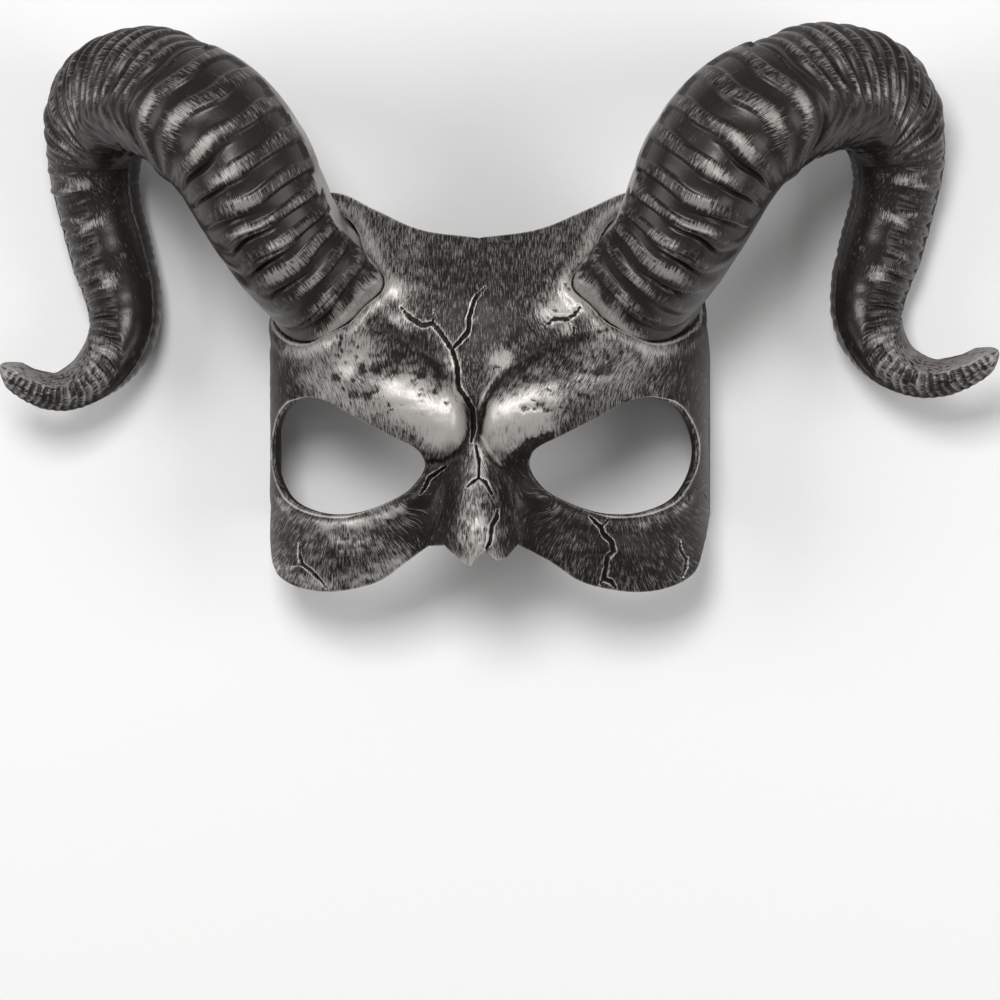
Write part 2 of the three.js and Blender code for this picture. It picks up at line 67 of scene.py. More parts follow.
# Driving sizes of the shell, in millimetres, the same as the solids'
HALF_WIDTH = 74.5
CROWN_NARROWING = 8
FRONT_DEPTH = 72
DEPTH_DROP = 16
DEEPEST_Y = 15
DROP_SPAN = 60
SKIRT = 14
SQUARENESS = 2.4
GIRTH = 100
RELIEF_FADE = 12
RIM_LOW_Y = -22
RIM_HIGH_Y = 50
CHEEK_LOW_Y = -47.8
STRAP_SLOT = {"length": 12, "width": 3, "y": 6, "z": 9}
SLOT_CORNERS = 32
BAR_OVERHANG = 10
CROWN_SPAN = (30, 84)

EYE_OUTLINE = [
    (17.6, -6), (19.5, -0.6), (30, 5.2), (41.5, 11.2), (51, 16.4), (59, 17.4), (66.8, 13.6),
    (71.4, 3), (70.8, -6), (65.4, -15.8), (55, -20.8), (43, -21.4), (31, -18), (22, -12.8),
]
EYE_CENTRE = (44, -3)
NOSE_EDGE = {
    1: [(0, -36.6), (3.9, -33.7), (7.2, -37), (10, -36), (13.6, -31.7)],
    -1: [(0, -36.6), (1.2, -39), (4.2, -37.4), (10.6, -31.9), (16.4, -32.2)],
}
CHEEK_EDGE = [(24, -37.6), (33, -43.8), (43, -46.8), (53, -47.8), (62, -46.4), (69.5, -42)]
TOP_EDGE = [(0, 71), (20, 74), (36, 81), (50, 87), (60, 86), (66.5, 77)]
CHEEK_TO_RIM = [(88, -34), (102, -25)]
RIM_TO_TOP = [(106, 62)]
# Spacing of the mesh's points along the nose, cheek, rim and top, and how many lie down the middle
EDGE_SPACINGS = (0.55, 0.78, 1.3, 0.95)
MIDDLE_POINTS = 190

BROW_SPINE = [(11, 11), (21, 17), (34, 23.5), (52, 30)]
BROW_FURROW = [(1, 10), (4, 20), (10, 27), (21, 34), (33, 39)]
BROW_RADIUS = 14.5
BROW_HEIGHT = 8.5
BROW_FADE = (38, 62)
NOSE_HEIGHT = 18
FURROW_DEPTH = 1.6
# Forehead, nose bridge, eye corner and cheek, as (height, x, y, long, short, turn) of elliptical bells
BROAD_SWELLINGS = [
    (3, 0, 50, 24, 20, 0),
    (-4, 0, 8, 12, 4.5, np.pi / 2),
    (-4, 14, -9, 12, 6.5, 1.2),
    (2.8, 46, -35, 26, 7.5, -0.12),
]

# Heights and depths of the fine relief
LIP_HEIGHT = 0.75
UNDER_EYE_ROLL = 0.9
COLLAR_LIP = 0.9
COLLAR_HEIGHT = 1.5
COLLAR_GROOVE = 1.6
CRACK_EDGE = 0.34
CRACK_HALF_WIDTH = 0.78
CRACK_END = 0.55
ROLL_HEIGHT = 1.5
CLEFT_DEPTH = 1.1
POCK_DEPTH = 0.3
POCK_COUNT = 150

# Cracks in the outer face, as (x, y) seen from the front, each with its width against the widest
CRACKS = [
    (1.0, [(-25.5, 47.5), (-22.4, 44), (-18.2, 41.4), (-14.6, 41.9), (-12.5, 39.9), (-10, 36.3),
           (-7.9, 33.3), (-6.4, 28.8), (-6, 24.3), (-5.2, 20.2), (-2.8, 16.7), (-1, 13.2), (-0.8, 6.7),
           (-1.5, 2.7)]),
    (0.6, [(-14.6, 41.9), (-13.7, 46.4)]),
    (0.9, [(-7.9, 33.3), (-4.9, 36.3), (-2.4, 39.3), (-2.1, 44.3), (-0.5, 49.9), (2.9, 54)]),
    (0.9, [(22.5, 40.8), (26, 43.4), (29.9, 43.4), (32.4, 44.9), (34.3, 48)]),
    (0.5, [(31, 42), (32.5, 40.4), (32.3, 37.8)]),
    (0.9, [(-0.1, 1.4), (1.1, -3.4), (1.3, -9.4)]),
    (0.8, [(1.3, -9.4), (-0.6, -10.6), (-2.6, -12.4)]),
    (0.8, [(1.3, -9.4), (3.6, -10.8), (5.6, -14.9)]),
    (0.8, [(7.4, -20), (7.2, -22.3), (5.9, -25.4), (5.3, -30.6), (4.1, -33)]),
    (0.8, [(-10.1, -5.5), (-13.4, -7.6), (-16.1, -9.7), (-17.1, -12.3), (-18.9, -14.7)]),
    (0.8, [(-61.3, -31.4), (-61, -36.1), (-60.3, -38.3), (-57, -40.9), (-54.9, -43), (-52.3, -46.2)]),
    (0.5, [(-64.4, -38.8), (-60.3, -38.3)]),
    (0.9, [(37.3, -22.3), (40.8, -26), (41.8, -28.1), (44.4, -30.7), (44.9, -33.9), (42.8, -36),
           (42.1, -40.2), (41.4, -42.9), (44, -44), (45.4, -46.6)]),
    (0.7, [(42.9, -23.4), (40.8, -26)]),
    (0.6, [(41.4, -42.9), (39.8, -45.4)]),
    (0.6, [(66.2, -29.8), (66.5, -34), (68.2, -36.1), (68, -39.3), (66.9, -42.5)]),
]
# Soft folds, each with its depth and half width
FOLDS = [
    (0.7, 2.6, [(-31, 40.5), (-23.5, 36.2), (-17.2, 32.2), (-12, 27)]),
    (1.2, 1.1, [(2.2, 11), (3.4, 15), (6.2, 20.4), (9.2, 24)]),
    (1.3, 2.2, [(9.2, 24), (15.2, 28.4), (21.1, 32), (29, 36), (38, 38)]),
    (0.5, 0.8, [(-11.3, -19), (-13.4, -24.4), (-15.1, -29)]),
]
# Rolls and clefts where the brows end over the nose, and the bright crests beside them
LOBE_ROLLS = [
    [(-8.2, 20), (-5.9, 14), (-5.9, 8), (-7.6, 3.6), (-11.5, 0.4), (-16, -0.6)],
    [(7.4, 19), (5.2, 12), (4.6, 6), (7, 1.6), (10.5, 0)],
]
CLEFTS = [
    [(-2.7, 16), (-2.1, 11), (-2.3, 6.5), (-3.2, 2.6), (-5.8, -1.2), (-11, -4.2), (-16.5, -4.6)],
    [(3, 14.6), (2, 9), (1.7, 5.5)],
]
NOSE_CREST = [(1.2, 5), (4.6, -0.6), (8.3, -5)]
FOLD_CREST = [(1.2, 13.5), (2.2, 17), (4.6, 21.6), (7.4, 25.2)]
# Under these lines, by side, the face belongs to the nose and no longer to the brows
LOBE_LIMIT = {
    -1: [(-17, -3.3), (-11.4, -3.2), (-6.1, -0.2), (-3.4, 3.2), (-2.5, 7), (-2.1, 18)],
    1: [(1.4, 5), (4.8, -0.5), (8.3, -4), (11, -1.8), (14.2, 0.5), (16.9, 3.2), (21.2, 4.8), (28, 6.5),
        (40, 12)],
}
# The larger pock marks, as (x, y, size)
PITS = [
    (-47, 24, 1.4), (-41, 18, 1.5), (-36, 18, 1.9), (-33.4, 19, 1.2), (43, 26.6, 2.2), (40.6, 25.4, 1.4),
    (-38, 28, 1.4), (-33, 27, 1.8), (-29, 28, 1.4), (17, 13.4, 1.3), (22, 14.6, 1.4), (24, 13, 1.1),
    (27, 27, 1.1),
]
# Places where the silver is denser, many of them painted highlights, as (x, y, size, gain)
SILVER_AND_HIGHLIGHT_SPOTS = [
    (-26.5, 53, 3.5, 0.5), (-25.5, 41, 4.5, 0.5), (-38, 33, 6, 0.45), (-43, 26, 3, 0.35),
    (-8.8, 29, 3, 0.5), (7, 28.5, 4, 0.3), (9.5, 29.6, 3.6, 0.6), (24, 46, 4.5, 0.5),
    (29, 46.5, 3.5, 0.45), (30, 39.8, 2.2, 0.5), (39.5, 37.5, 4, 0.5), (-1, -38, 3, 0.6),
    (6.6, -36, 2.4, 0.4), (-36, 13, 9, 0.12), (32, 52, 5, 0.3),
]
BRIGHT_LOBES = {-1: [(-8, 8), (-12, 11), (-21, 16.5)], 1: [(7.5, 7.5), (12, 10), (19, 13)]}
# Stretches over the brows where it is rubbed off, as (share, half width, chain)
RUBBED = [
    (1, 5, [(-36, 30), (-24, 28), (-15, 24)]),
    (0.6, 7, [(14, 22), (28, 27), (42, 32)]),
    (0.5, 9, [(-8, 52), (8, 56), (20, 52)]),
]

# The shell's mesh: rows of points over its faces, loops and radius of its edges, and a density so low
# that even the raised lines stay bare
OUTER_ROWS = 66
INNER_ROWS = 10
EDGE_LOOPS = 4
EDGE_RADIUS = 0.8
NO_SILVER = -0.5
# How much denser the silver is on the free edge, up to the temples, and on the eye hole's edge
EDGE_GAIN = 0.35
TEMPLE_X = 62
EYE_EDGE_GAIN = 0.2

# Driving sizes of the horns: stations are (x, y, z, radius) of the horn on the +X side
BASE_RADIUS = 21.8
HORN_STATIONS = [
    (52, 53, 34, BASE_RADIUS), (54.2, 58, 50, BASE_RADIUS), (63, 68.5, 62.5, 22), (72, 82.8, 69.5, 22.6),
    (78.3, 94.5, 72, 23.2), (86.7, 105.6, 71, 23.1), (99.2, 114, 63.3, 22.6), (116, 120.6, 48, 21.9),
    (130.2, 117, 31, 20), (135.8, 105, 18.6, 17.5), (136.4, 93, 14.8, 15.6), (134.6, 82.5, 13.4, 14.6),
    (130.9, 68.5, 13.2, 14.5), (126.8, 54, 13.2, 13.3), (126.2, 43, 15.5, 12), (130.2, 33.2, 20.3, 10.3),
    (137.3, 25.9, 26, 8.2), (147.8, 21.8, 33, 6.4), (159, 24.2, 39, 5.4), (169.3, 31, 43, 4.2),
]
# How far each horn leans to one side, and its tip by side
STRAY_X = 1.6
STRAY_Y = 2.2
TIP_STRAY = {-1: 4.2, 1: 1.8}
FOLD_AT = 0.33
ELBOW_AT = 0.53
HOOK_AT = 0.84
TIP_ROUNDING = 0.02
LAST_SHARE = 0.9994
HORN_SKIN = 0.3
# The search for the foot on the shell: up to which share, in how many trials, and how near counts
FOOT_TRIALS = (0.26, 260)
FOOT_SINK = 0.1
GLUE_GAP = 0.3
FOOT_CORNER = 4.6
FOLD_GAP = 1.5

# Roughness, metal and gloss of the finishes, the height of their strokes in metres, how softly a
# stroke ends, and whether bright lines follow the cracks, collars and lips
FINISHES = {
    "Brushed shell": {
        "dark_roughness": 0.42, "silver_roughness": 0.4, "metal": 0.42, "specular": 0.16,
        "stroke_height": 0.00007, "softness": 0.42, "lines": True,
    },
    "Brushed horn": {
        "dark_roughness": 0.3, "silver_roughness": 0.36, "metal": 0.35, "specular": 0.28,
        "stroke_height": 0.00006, "softness": 0.22, "lines": False,
    },
}
# Scales of the noises: of strokes across and along the brush's way, to the millimetre, and the others
# to the metre
THIN_STROKES = (3.1, 0.36)
WIDE_STROKES = (1.2, 0.22)
SPECK_SCALE = 1400
PATCH_SCALE = 230
PEEL_SCALE = 420
GRAIN_SCALE = 1900
GLOSS_SCALE = 60
FLECK_SCALE = 300
PEEL_HEIGHT = 0.00006
GLOSS_SPAN = 0.14
# The distances that the shell's mesh carries, and the bright line at each: from, crest, to, most
DISTANCES = ("Crack", "Collar", "Lip")
BRIGHT_LINES = [
    ("Collar", 0.5, 1.0, 1.7, 0.65), ("Lip", 0.1, 0.7, 1.5, 0.65), ("Crack", 1.0, 1.3, 1.8, 0.45),
]
# The plastic's darkest and palest shade against its colour, and the thinnest silver's against its own
PLASTIC_SHADES = (0.72, 1.3)
THIN_SILVER = 0.05
PAPER_SHADE = 0.985
PAPER_ROUGHNESS = 0.9

# The stage, in metres: lights as (name, place, target, width, share of the key light's power)
LIGHTS = [
    ("key", (-0.12, 0.62, 1.9), (0, 0.02, 0.05), 0.6, 1),
    ("fill", (1.2, -0.1, 0.9), (0, 0, 0.05), 0.8, 0.35),
    ("left", (-1.2, 0.1, 0.9), (0, 0, 0.05), 0.8, 0.35),
]
WORLD_COLOUR = (1.0, 0.985, 0.965, 1)
WORLD_STRENGTH = 0.18
FLOOR_REACH = 4.0
# The point that the camera is aimed at, in millimetres of the shaping frame
AIM_RIGHT = 7.2
AIM_DOWN = 16.7
AIM_HEIGHT = 60
SENSOR_WIDTH = 36
FAR_CLIP = 50


def smooth(low, high, value):
    """Share of the way from low to high, eased at both ends: 3u^2 - 2u^3."""
    u = np.clip((value - low) / (high - low), 0, 1)
    return u * u * (3 - 2 * u)


def bell(value):
    """e to the minus value squared."""
    return np.exp(-value * value)


def mix(a, b, share):
    """a and b, blended by a share."""
    return a + (b - a) * share


def unevenness(u, v, seed):
    """Value noise from -1 to 1: random heights on a unit lattice, joined by the smooth step."""
    table = np.random.default_rng(seed).uniform(-1, 1, (LATTICE, LATTICE))
    i, j = np.floor(u).astype(int), np.floor(v).astype(int)
    across, up = smooth(0, 1, u - i), smooth(0, 1, v - j)
    left, right, low, high = i % LATTICE, (i + 1) % LATTICE, j % LATTICE, (j + 1) % LATTICE
    below, above = (mix(table[left, row], table[right, row], across) for row in (low, high))
    return mix(below, above, up)


def swelling(x, y, cx, cy, long, short, turn=0.0):
    """An elliptical bell of height 1 at (cx, cy), its long axis turned from x by an angle."""
    u = (x - cx) * np.cos(turn) + (y - cy) * np.sin(turn)
    v = (y - cy) * np.cos(turn) - (x - cx) * np.sin(turn)
    return bell(np.hypot(u / long, v / short))


def from_chain(x, y, chain, widths=None):
    """Least distance from (x, y) to a chain of straight steps, over the chain's width at that place."""
    best = np.full(np.shape(x), 1e9)
    widths = [1.0] * len(chain) if widths is None else widths
    for (ax, ay), (bx, by), wa, wb in zip(chain, chain[1:], widths, widths[1:]):
        dx, dy = bx - ax, by - ay
        t = np.clip(((x - ax) * dx + (y - ay) * dy) / (dx * dx + dy * dy), 0, 1)
        best = np.minimum(best, np.hypot(x - ax - t * dx, y - ay - t * dy) / mix(wa, wb, t))
    return best


def from_chains(x, y, chains):
    """Least distance from (x, y) to any of the chains."""
    return np.minimum.reduce([from_chain(x, y, chain) for chain in chains])


def ridge(x, y, chain, half):
    """A bell across a chain: 1 on it and 1/e at a distance of `half`."""
    return bell(from_chain(x, y, chain) / half)


def smooth_curve(points, closed=False, steps=40):
    """A centripetal Catmull-Rom curve through the points: cubics whose knots lie apart by the root of the
    distance between them. Columns past the third, such as a radius, go along with the first three."""
    p = np.array(points, float)
    if closed:
        p = np.vstack([p[-1], p, p[0], p[1]])
    else:
        p = np.vstack([2 * p[0] - p[1], p, 2 * p[-1] - p[-2]])
    gaps = np.linalg.norm(np.diff(p[:, :3], axis=0), axis=1) ** 0.5
    p0, p1, p2, p3 = p[:-3, None], p[1:-2, None], p[2:-1, None], p[3:, None]
    d0, d1, d2 = (g[:, None, None] for g in (gaps[:-2], gaps[1:-1], gaps[2:]))
    start = ((p1 - p0) / d0 - (p2 - p0) / (d0 + d1) + (p2 - p1) / d1) * d1
    end = ((p2 - p1) / d1 - (p3 - p1) / (d1 + d2) + (p3 - p2) / d2) * d1
    t = (np.arange(steps) / steps)[None, :, None]
    square, cube = 3 * p2 - 3 * p1 - 2 * start - end, 2 * p1 - 2 * p2 + start + end
    curve = p1 + start * t + square * t**2 + cube * t**3
    return np.vstack([curve.reshape(-1, p.shape[1]), p[-2]])


def lengths_along(curve):
    """Length of the curve up to each of its points."""
    return np.concatenate([[0], np.cumsum(np.linalg.norm(np.diff(curve[:, :3], axis=0), axis=1))])


def spaced(curve, spacing):
    """Points of the curve about `spacing` apart, both ends included."""
    length = lengths_along(curve)
    wanted = np.linspace(0, length[-1], max(2, round(length[-1] / spacing)) + 1)
    return np.stack([np.interp(wanted, length, column) for column in curve.T], axis=1)


def half_width_at(y):
    """Half of the shell's width at height y, which the smooth step narrows towards the crown."""
    return HALF_WIDTH - CROWN_NARROWING * smooth(*CROWN_SPAN, y)


def depth_at(y):
    """The shell's depth at height y: a parabola that is deepest at DEEPEST_Y."""
    return FRONT_DEPTH - DEPTH_DROP * ((y - DEEPEST_Y) / DROP_SPAN) ** 2


def plain_point(g, y):
    """The shell's plain form. g runs across the face from the nose to a rim. Up to GIRTH a level section
    is a superellipse, |x/a|^n + |z/c|^n = 1, and past it a flat skirt down to z = 0."""
    side, across = np.where(g < 0, -1.0, 1.0), np.abs(g)
    a, c = half_width_at(y), depth_at(y) - SKIRT
    turn = np.minimum(across / GIRTH, 1) * np.pi / 2
    size = np.abs(np.sin(turn) / a) ** SQUARENESS + np.abs(np.cos(turn) / c) ** SQUARENESS
    reach = size ** (-1 / SQUARENESS)
    z = SKIRT + np.where(across < GIRTH, reach * np.cos(turn), GIRTH - across)
    return np.stack([side * reach * np.sin(turn), y + 0 * g, z], axis=-1)


def girth_at(x, y):
    """The g of a point that is seen from the front at (x, y)."""
    a, c = half_width_at(y), depth_at(y) - SKIRT
    share = np.minimum(1, np.abs(x) / a)
    z = c * (1 - share**SQUARENESS) ** (1 / SQUARENESS)
    return np.sign(x) * np.arctan2(share * a, z) * GIRTH * 2 / np.pi


def unit(vectors):
    """The vectors divided by their lengths."""
    return vectors / np.linalg.norm(vectors, axis=-1, keepdims=True)


def section_normal(g, y, step=0.2):
    """Direction square to the plain level section, with no part along y."""
    along = plain_point(g + step, y) - plain_point(g - step, y)
    return unit(np.stack([-along[..., 2], 0 * along[..., 0], along[..., 0]], axis=-1))


def broad_relief(x, y):
    """Relief that both faces of the wall follow. A brow is a round-backed ridge, (1 - (d/r)^2)^1.15 at a
    distance d from its spine, the nose is a bell that widens downwards, and the rest are bells."""
    ax = np.abs(x)
    dome = np.maximum(0, 1 - (from_chain(ax, y, BROW_SPINE) / BROW_RADIUS) ** 2) ** 1.15
    down = smooth(4, -34, y)
    relief = BROW_HEIGHT * dome * (1 - smooth(*BROW_FADE, ax))
    relief = relief + NOSE_HEIGHT * down * bell((ax / mix(5, 10.5, down)) ** 1.4)
    relief = relief - FURROW_DEPTH * ridge(ax, y, BROW_FURROW, 4.4)
    for height, *place in BROAD_SWELLINGS:
        relief = relief + height * swelling(ax, y, *place)
    return relief


def broad_point(g, y):
    """The plain form, raised by the broad relief square to the level section."""
    point = plain_point(g, y)
    fade = 1 - smooth(GIRTH - RELIEF_FADE, GIRTH, np.abs(g))
    return point + section_normal(g, y) * (broad_relief(point[..., 0], y) * fade)[..., None]


def broad_normal(g, y, step=0.4):
    """Direction square to the broad form, from its slopes along g and y."""
    along_g = broad_point(g + step, y) - broad_point(g - step, y)
    along_y = broad_point(g, y + step) - broad_point(g, y - step)
    return unit(np.cross(along_g, along_y))


EYE_ON_FACE = smooth_curve(EYE_OUTLINE, closed=True, steps=12)
EYE_ON_FACE[:, 0] = girth_at(EYE_ON_FACE[:, 0], EYE_ON_FACE[:, 1])
EYE_MIDDLE = np.array([girth_at(EYE_CENTRE[0], EYE_CENTRE[1]), EYE_CENTRE[1]])


def crack_distance(x, y):
    """Distance to the nearest crack, in widths of it, so that every crack runs out to a point."""
    best = np.full(np.shape(x), 20.0)
    for width, chain in CRACKS:
        widths = np.full(len(chain), CRACK_HALF_WIDTH * width)
        widths[[0, -1]] *= CRACK_END
        best = np.minimum(best, from_chain(x, y, chain, list(widths)))
    return best + 0.3 * unevenness(x / 1.1, y / 1.1, 3) + 0.16 * unevenness(x / 0.5, y / 0.5, 4)


def from_angle(angle, middle):
    """Angle between two directions round the horn, in radians, never negative."""
    return np.abs(np.arctan2(np.sin(angle - middle), np.cos(angle - middle)))


def foot_shape(angle):
    """How much further than a circle the horn's foot reaches: it is slimmer on the side of the face's
    middle, and has a corner in front of that."""
    corner, flank = bell(from_angle(angle, 0.88) / 0.25), bell(from_angle(angle, 0.24) / 0.5)
    return FOOT_CORNER * corner - FOOT_CORNER * flank


def round_foot(point):
    """Direction round the axis of the nearer horn's foot, and the distance from that axis."""
    start, end = np.array(HORN_STATIONS[0][:3], float), np.array(HORN_STATIONS[2][:3], float)
    way = unit(end - start)
    front = unit(np.array([0, 0, 1.0]) - way[2] * way)
    mirrored = point * 1.0
    mirrored[..., 0] = np.abs(mirrored[..., 0])
    off = mirrored - start
    off = off - (off @ way)[..., None] * way
    return np.arctan2(off @ front, off @ np.cross(front, way)), np.linalg.norm(off, axis=-1)


@functools.cache
def foot_reach():
    """How far from the foot's axis the horn's side leaves the shell's broad form, by direction."""
    return round_foot(ring_on_shell(1, None)[1])


def from_horn(point):
    """Distance from the line round the nearer horn where its side leaves the shell."""
    angle, distance = round_foot(point)
    return distance - np.interp(angle, *foot_reach(), period=2 * np.pi)


def pocks():
    """Places and sizes of the pock marks: the larger ones, and a seeded scatter of small ones, all of them
    kept near the brows and a third of them on the forehead."""
    pick = np.random.default_rng(11)
    x, y = pick.uniform(-48, 50, POCK_COUNT), pick.uniform(12, 58, POCK_COUNT)
    size = pick.uniform(0.35, 0.95, POCK_COUNT)
    kept = from_chain(np.abs(x), y, BROW_SPINE) < 17
    scattered = np.stack([x, y, size], axis=1)[kept | (pick.uniform(0, 1, POCK_COUNT) < 0.35)]
    return np.vstack([np.array(PITS, float), scattered])


def lip_strength(ax, y):
    """1 round the outer half of an eye hole, fading to 0 along the brow and beside the nose."""
    return smooth(22, 44, ax - 1.3 * np.maximum(y, 0))


def fine_relief(g, y, point, crack_depth):
    """Relief of the outer face alone, in millimetres: bells at set distances from the eye hole, the horn
    and the cracks, folds along chains, pock marks and a cast surface's unevenness. Gives it, and how far
    off the eye hole, horn, cracks and folds are, and how deep in a pock mark each point lies."""
    x, ax = point[..., 0], np.abs(point[..., 0])
    eye = from_chain(np.abs(g), y, [tuple(p) for p in EYE_ON_FACE])
    lip = LIP_HEIGHT * bell((eye - 0.9) / 0.8) * (0.3 + 0.7 * lip_strength(ax, y))
    lip = lip + UNDER_EYE_ROLL * bell((eye - 3.6) / 2.4) * smooth(-10, -17, y)
    horn = from_horn(point)
    wave = unevenness(x / 5.5, y / 5.5, 21)
    collar = (COLLAR_HEIGHT + 0.5 * wave) * bell((horn - 3.4 - 0.6 * wave) / 2)
    collar = COLLAR_LIP * bell((horn - 1.1) / 0.6) + collar - COLLAR_GROOVE * bell((horn + 0.1) / 0.7)
    crack = crack_distance(x, y)
    channel = -crack_depth * (1 - smooth(0.35, 1.0, crack))
    edges = CRACK_EDGE * bell((crack - 1.5) / 0.5)
    fold = np.full(np.shape(x), FAR_OFF)
    folds = 0 * x
    for depth, half, chain in FOLDS:
        away = from_chain(x, y, chain) / half
        folds = np.minimum(folds, -depth * bell(away))
        fold = np.minimum(fold, away)
    dome_edge = from_chain(ax, y, BROW_SPINE) - 14.3
    rolls = ROLL_HEIGHT * bell(from_chains(x, y, LOBE_ROLLS) / 3.2)
    rolls = rolls + 0.5 * bell(dome_edge / 1.5) * (1 - smooth(*BROW_FADE, ax))
    clefts = -CLEFT_DEPTH * bell(from_chains(x, y, CLEFTS))
    crest = 0.8 * ridge(x, y, NOSE_CREST, 0.6) + 0.5 * ridge(x, y, FOLD_CREST, 0.7)
    folds = folds + rolls + clefts + crest
    marks, pits = 0 * x, 0 * x
    warp_x, warp_y = 0.7 * unevenness(x / 1.3, y / 1.3, 35), 0.5 * unevenness(x / 1.1, y / 1.1, 36)
    for px, py, size in pocks():
        near = bell(np.hypot((x - px + warp_x) * 0.62, y - py + warp_y) / size)
        marks = marks - POCK_DEPTH * size * near
        pits = np.maximum(pits, near)
    cast = 0.22 * unevenness(x / 6.5, y / 6.5, 31) + 0.09 * unevenness(x / 2.1, y / 2.1, 32)
    cheek = swelling(ax, y, 44, -34, 20, 6)
    cast = cast + cheek * 0.6 * np.minimum(0, unevenness(x / 2.2, y / 1.5, 33))
    beak = smooth(-18, -34, y) * bell(x / 13) * 0.35 * unevenness(x / 2.4, y / 4, 34)
    height = lip + collar + channel + edges + folds + marks + cast + beak
    return height * (1 - smooth(GIRTH - 4, GIRTH, np.abs(g))), eye, horn, crack, fold, pits


def outer_point(g, y, crack_depth, lift=0.0):
    """The outer face: the broad form and the fine relief, raised square to the level section."""
    point = broad_point(g, y)
    height = fine_relief(g, y, point, crack_depth)[0]
    return point + section_normal(g, y) * (height + lift)[..., None]


def inner_point(g, y, wall):
    """The inner face: one wall thickness under the broad form, and more behind the brow's furrow."""
    point = broad_point(g, y)
    backing = ridge(np.abs(point[..., 0]), y, BROW_FURROW, 7)
    return point - broad_normal(g, y) * (wall + backing)[..., None]


def on_face(points):
    """Points seen from the front, laid out on the face as (g, y)."""
    p = np.array(points, float)
    return np.stack([girth_at(p[:, 0], p[:, 1]), p[:, 1]], axis=1)


def edge_of_half(side):
    """The free edge of one half as (g, y), from the nose's middle past cheek and rim to the crown's
    middle, and at each point the direction out of the face."""
    nose = on_face(NOSE_EDGE[side])
    rim = np.array([(GIRTH + SKIRT, RIM_LOW_Y), (GIRTH + SKIRT, RIM_HIGH_Y)], float)
    cheek = smooth_curve(np.vstack([nose[-1], on_face(CHEEK_EDGE), CHEEK_TO_RIM, rim[0]]))
    top = smooth_curve(np.vstack([rim[1], RIM_TO_TOP, on_face(TOP_EDGE)[::-1]]))
    parts = [spaced(curve, step) for curve, step in zip((nose, cheek, rim, top), EDGE_SPACINGS)]
    edge = np.vstack([part[:-1] for part in parts] + [parts[-1][-1:]])
    ahead = np.gradient(edge, axis=0)
    out = unit(np.stack([ahead[:, 1], -ahead[:, 0]], axis=1))
    out[0], out[-1] = (0, -1), (0, 1)
    return edge, out


def ray_to_eye(points):
    """For each point of a loop round the eye hole, the point of the hole's outline on the ray from the
    eye's centre, and its direction from the hole into the face."""
    outline = EYE_ON_FACE[:-1]
    turn = np.unwrap(np.arctan2(outline[:, 1] - EYE_MIDDLE[1], outline[:, 0] - EYE_MIDDLE[0]))
    if turn[-1] < turn[0]:
        turn, outline = turn[::-1], outline[::-1]
    wanted = np.arctan2(points[:, 1] - EYE_MIDDLE[1], points[:, 0] - EYE_MIDDLE[0])
    turns = np.concatenate([turn - 2 * np.pi, turn, turn + 2 * np.pi])
    eye = np.stack([np.interp(wanted, turns, np.tile(outline[:, k], 3)) for k in (0, 1)], axis=1)
    return eye, unit(eye - EYE_MIDDLE)


def add_object(name, data):
    """An object that holds the data, in the scene."""
    made = bpy.data.objects.new(name, data)
    bpy.context.scene.collection.objects.link(made)
    return made


def make_mesh(name, points, faces, values, flow=None):
    """A mesh object from arrays: points in metres, four or three corners a face, one number a point for
    each named value, and the way that the brush went over each point as a UV map."""
    mesh = bpy.data.meshes.new(name)
    corners = np.concatenate([f.ravel() for f in faces]).astype(np.int32)
    counts = np.concatenate([np.full(len(f), f.shape[1]) for f in faces]).astype(np.int32)
    mesh.vertices.add(len(points))
    mesh.vertices.foreach_set("co", points.astype(np.float32).ravel())
    mesh.loops.add(len(corners))
    mesh.loops.foreach_set("vertex_index", corners)
    mesh.polygons.add(len(counts))
    mesh.polygons.foreach_set("loop_start", np.concatenate([[0], np.cumsum(counts)[:-1]]).astype(np.int32))
    mesh.update(calc_edges=True)
    mesh.polygons.foreach_set("use_smooth", np.ones(len(counts), bool))
    for label, value in values.items():
        attribute = mesh.attributes.new(label, "FLOAT", "POINT")
        attribute.data.foreach_set("value", value.astype(np.float32))
    if flow is not None:
        layer = mesh.uv_layers.new(name="brush")
        layer.data.foreach_set("uv", flow[corners].astype(np.float32).ravel())
    mesh.validate()
    return add_object(name, mesh)


def in_row_frame(points):
    """Millimetres in the shaping frame as metres in the row's frame."""
    low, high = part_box("mask_shell")
    return points * MM + np.array([(low.x + high.x) / 2, low.y - CHEEK_LOW_Y * MM, 0])


def under_lobes(x, y):
    """1 under the line where the brows end over the nose, 0 above it, with a ragged step between."""
    left, right = (np.interp(x, *np.transpose(LOBE_LIMIT[side])) for side in (-1, 1))
    line = np.where(x < 0, left, right)
    ragged = 0.5 * unevenness(x / 0.9, y / 1.5, 43) * (x > 9)
    between = smooth(-2.6, -2.1, x) * smooth(1.9, 1.4, x)
    near = np.maximum(smooth(0.6, -0.6, y - line + ragged), between * smooth(22, 9, y))
    return np.where(np.abs(x) < 26, near, smooth(0, -12, y))


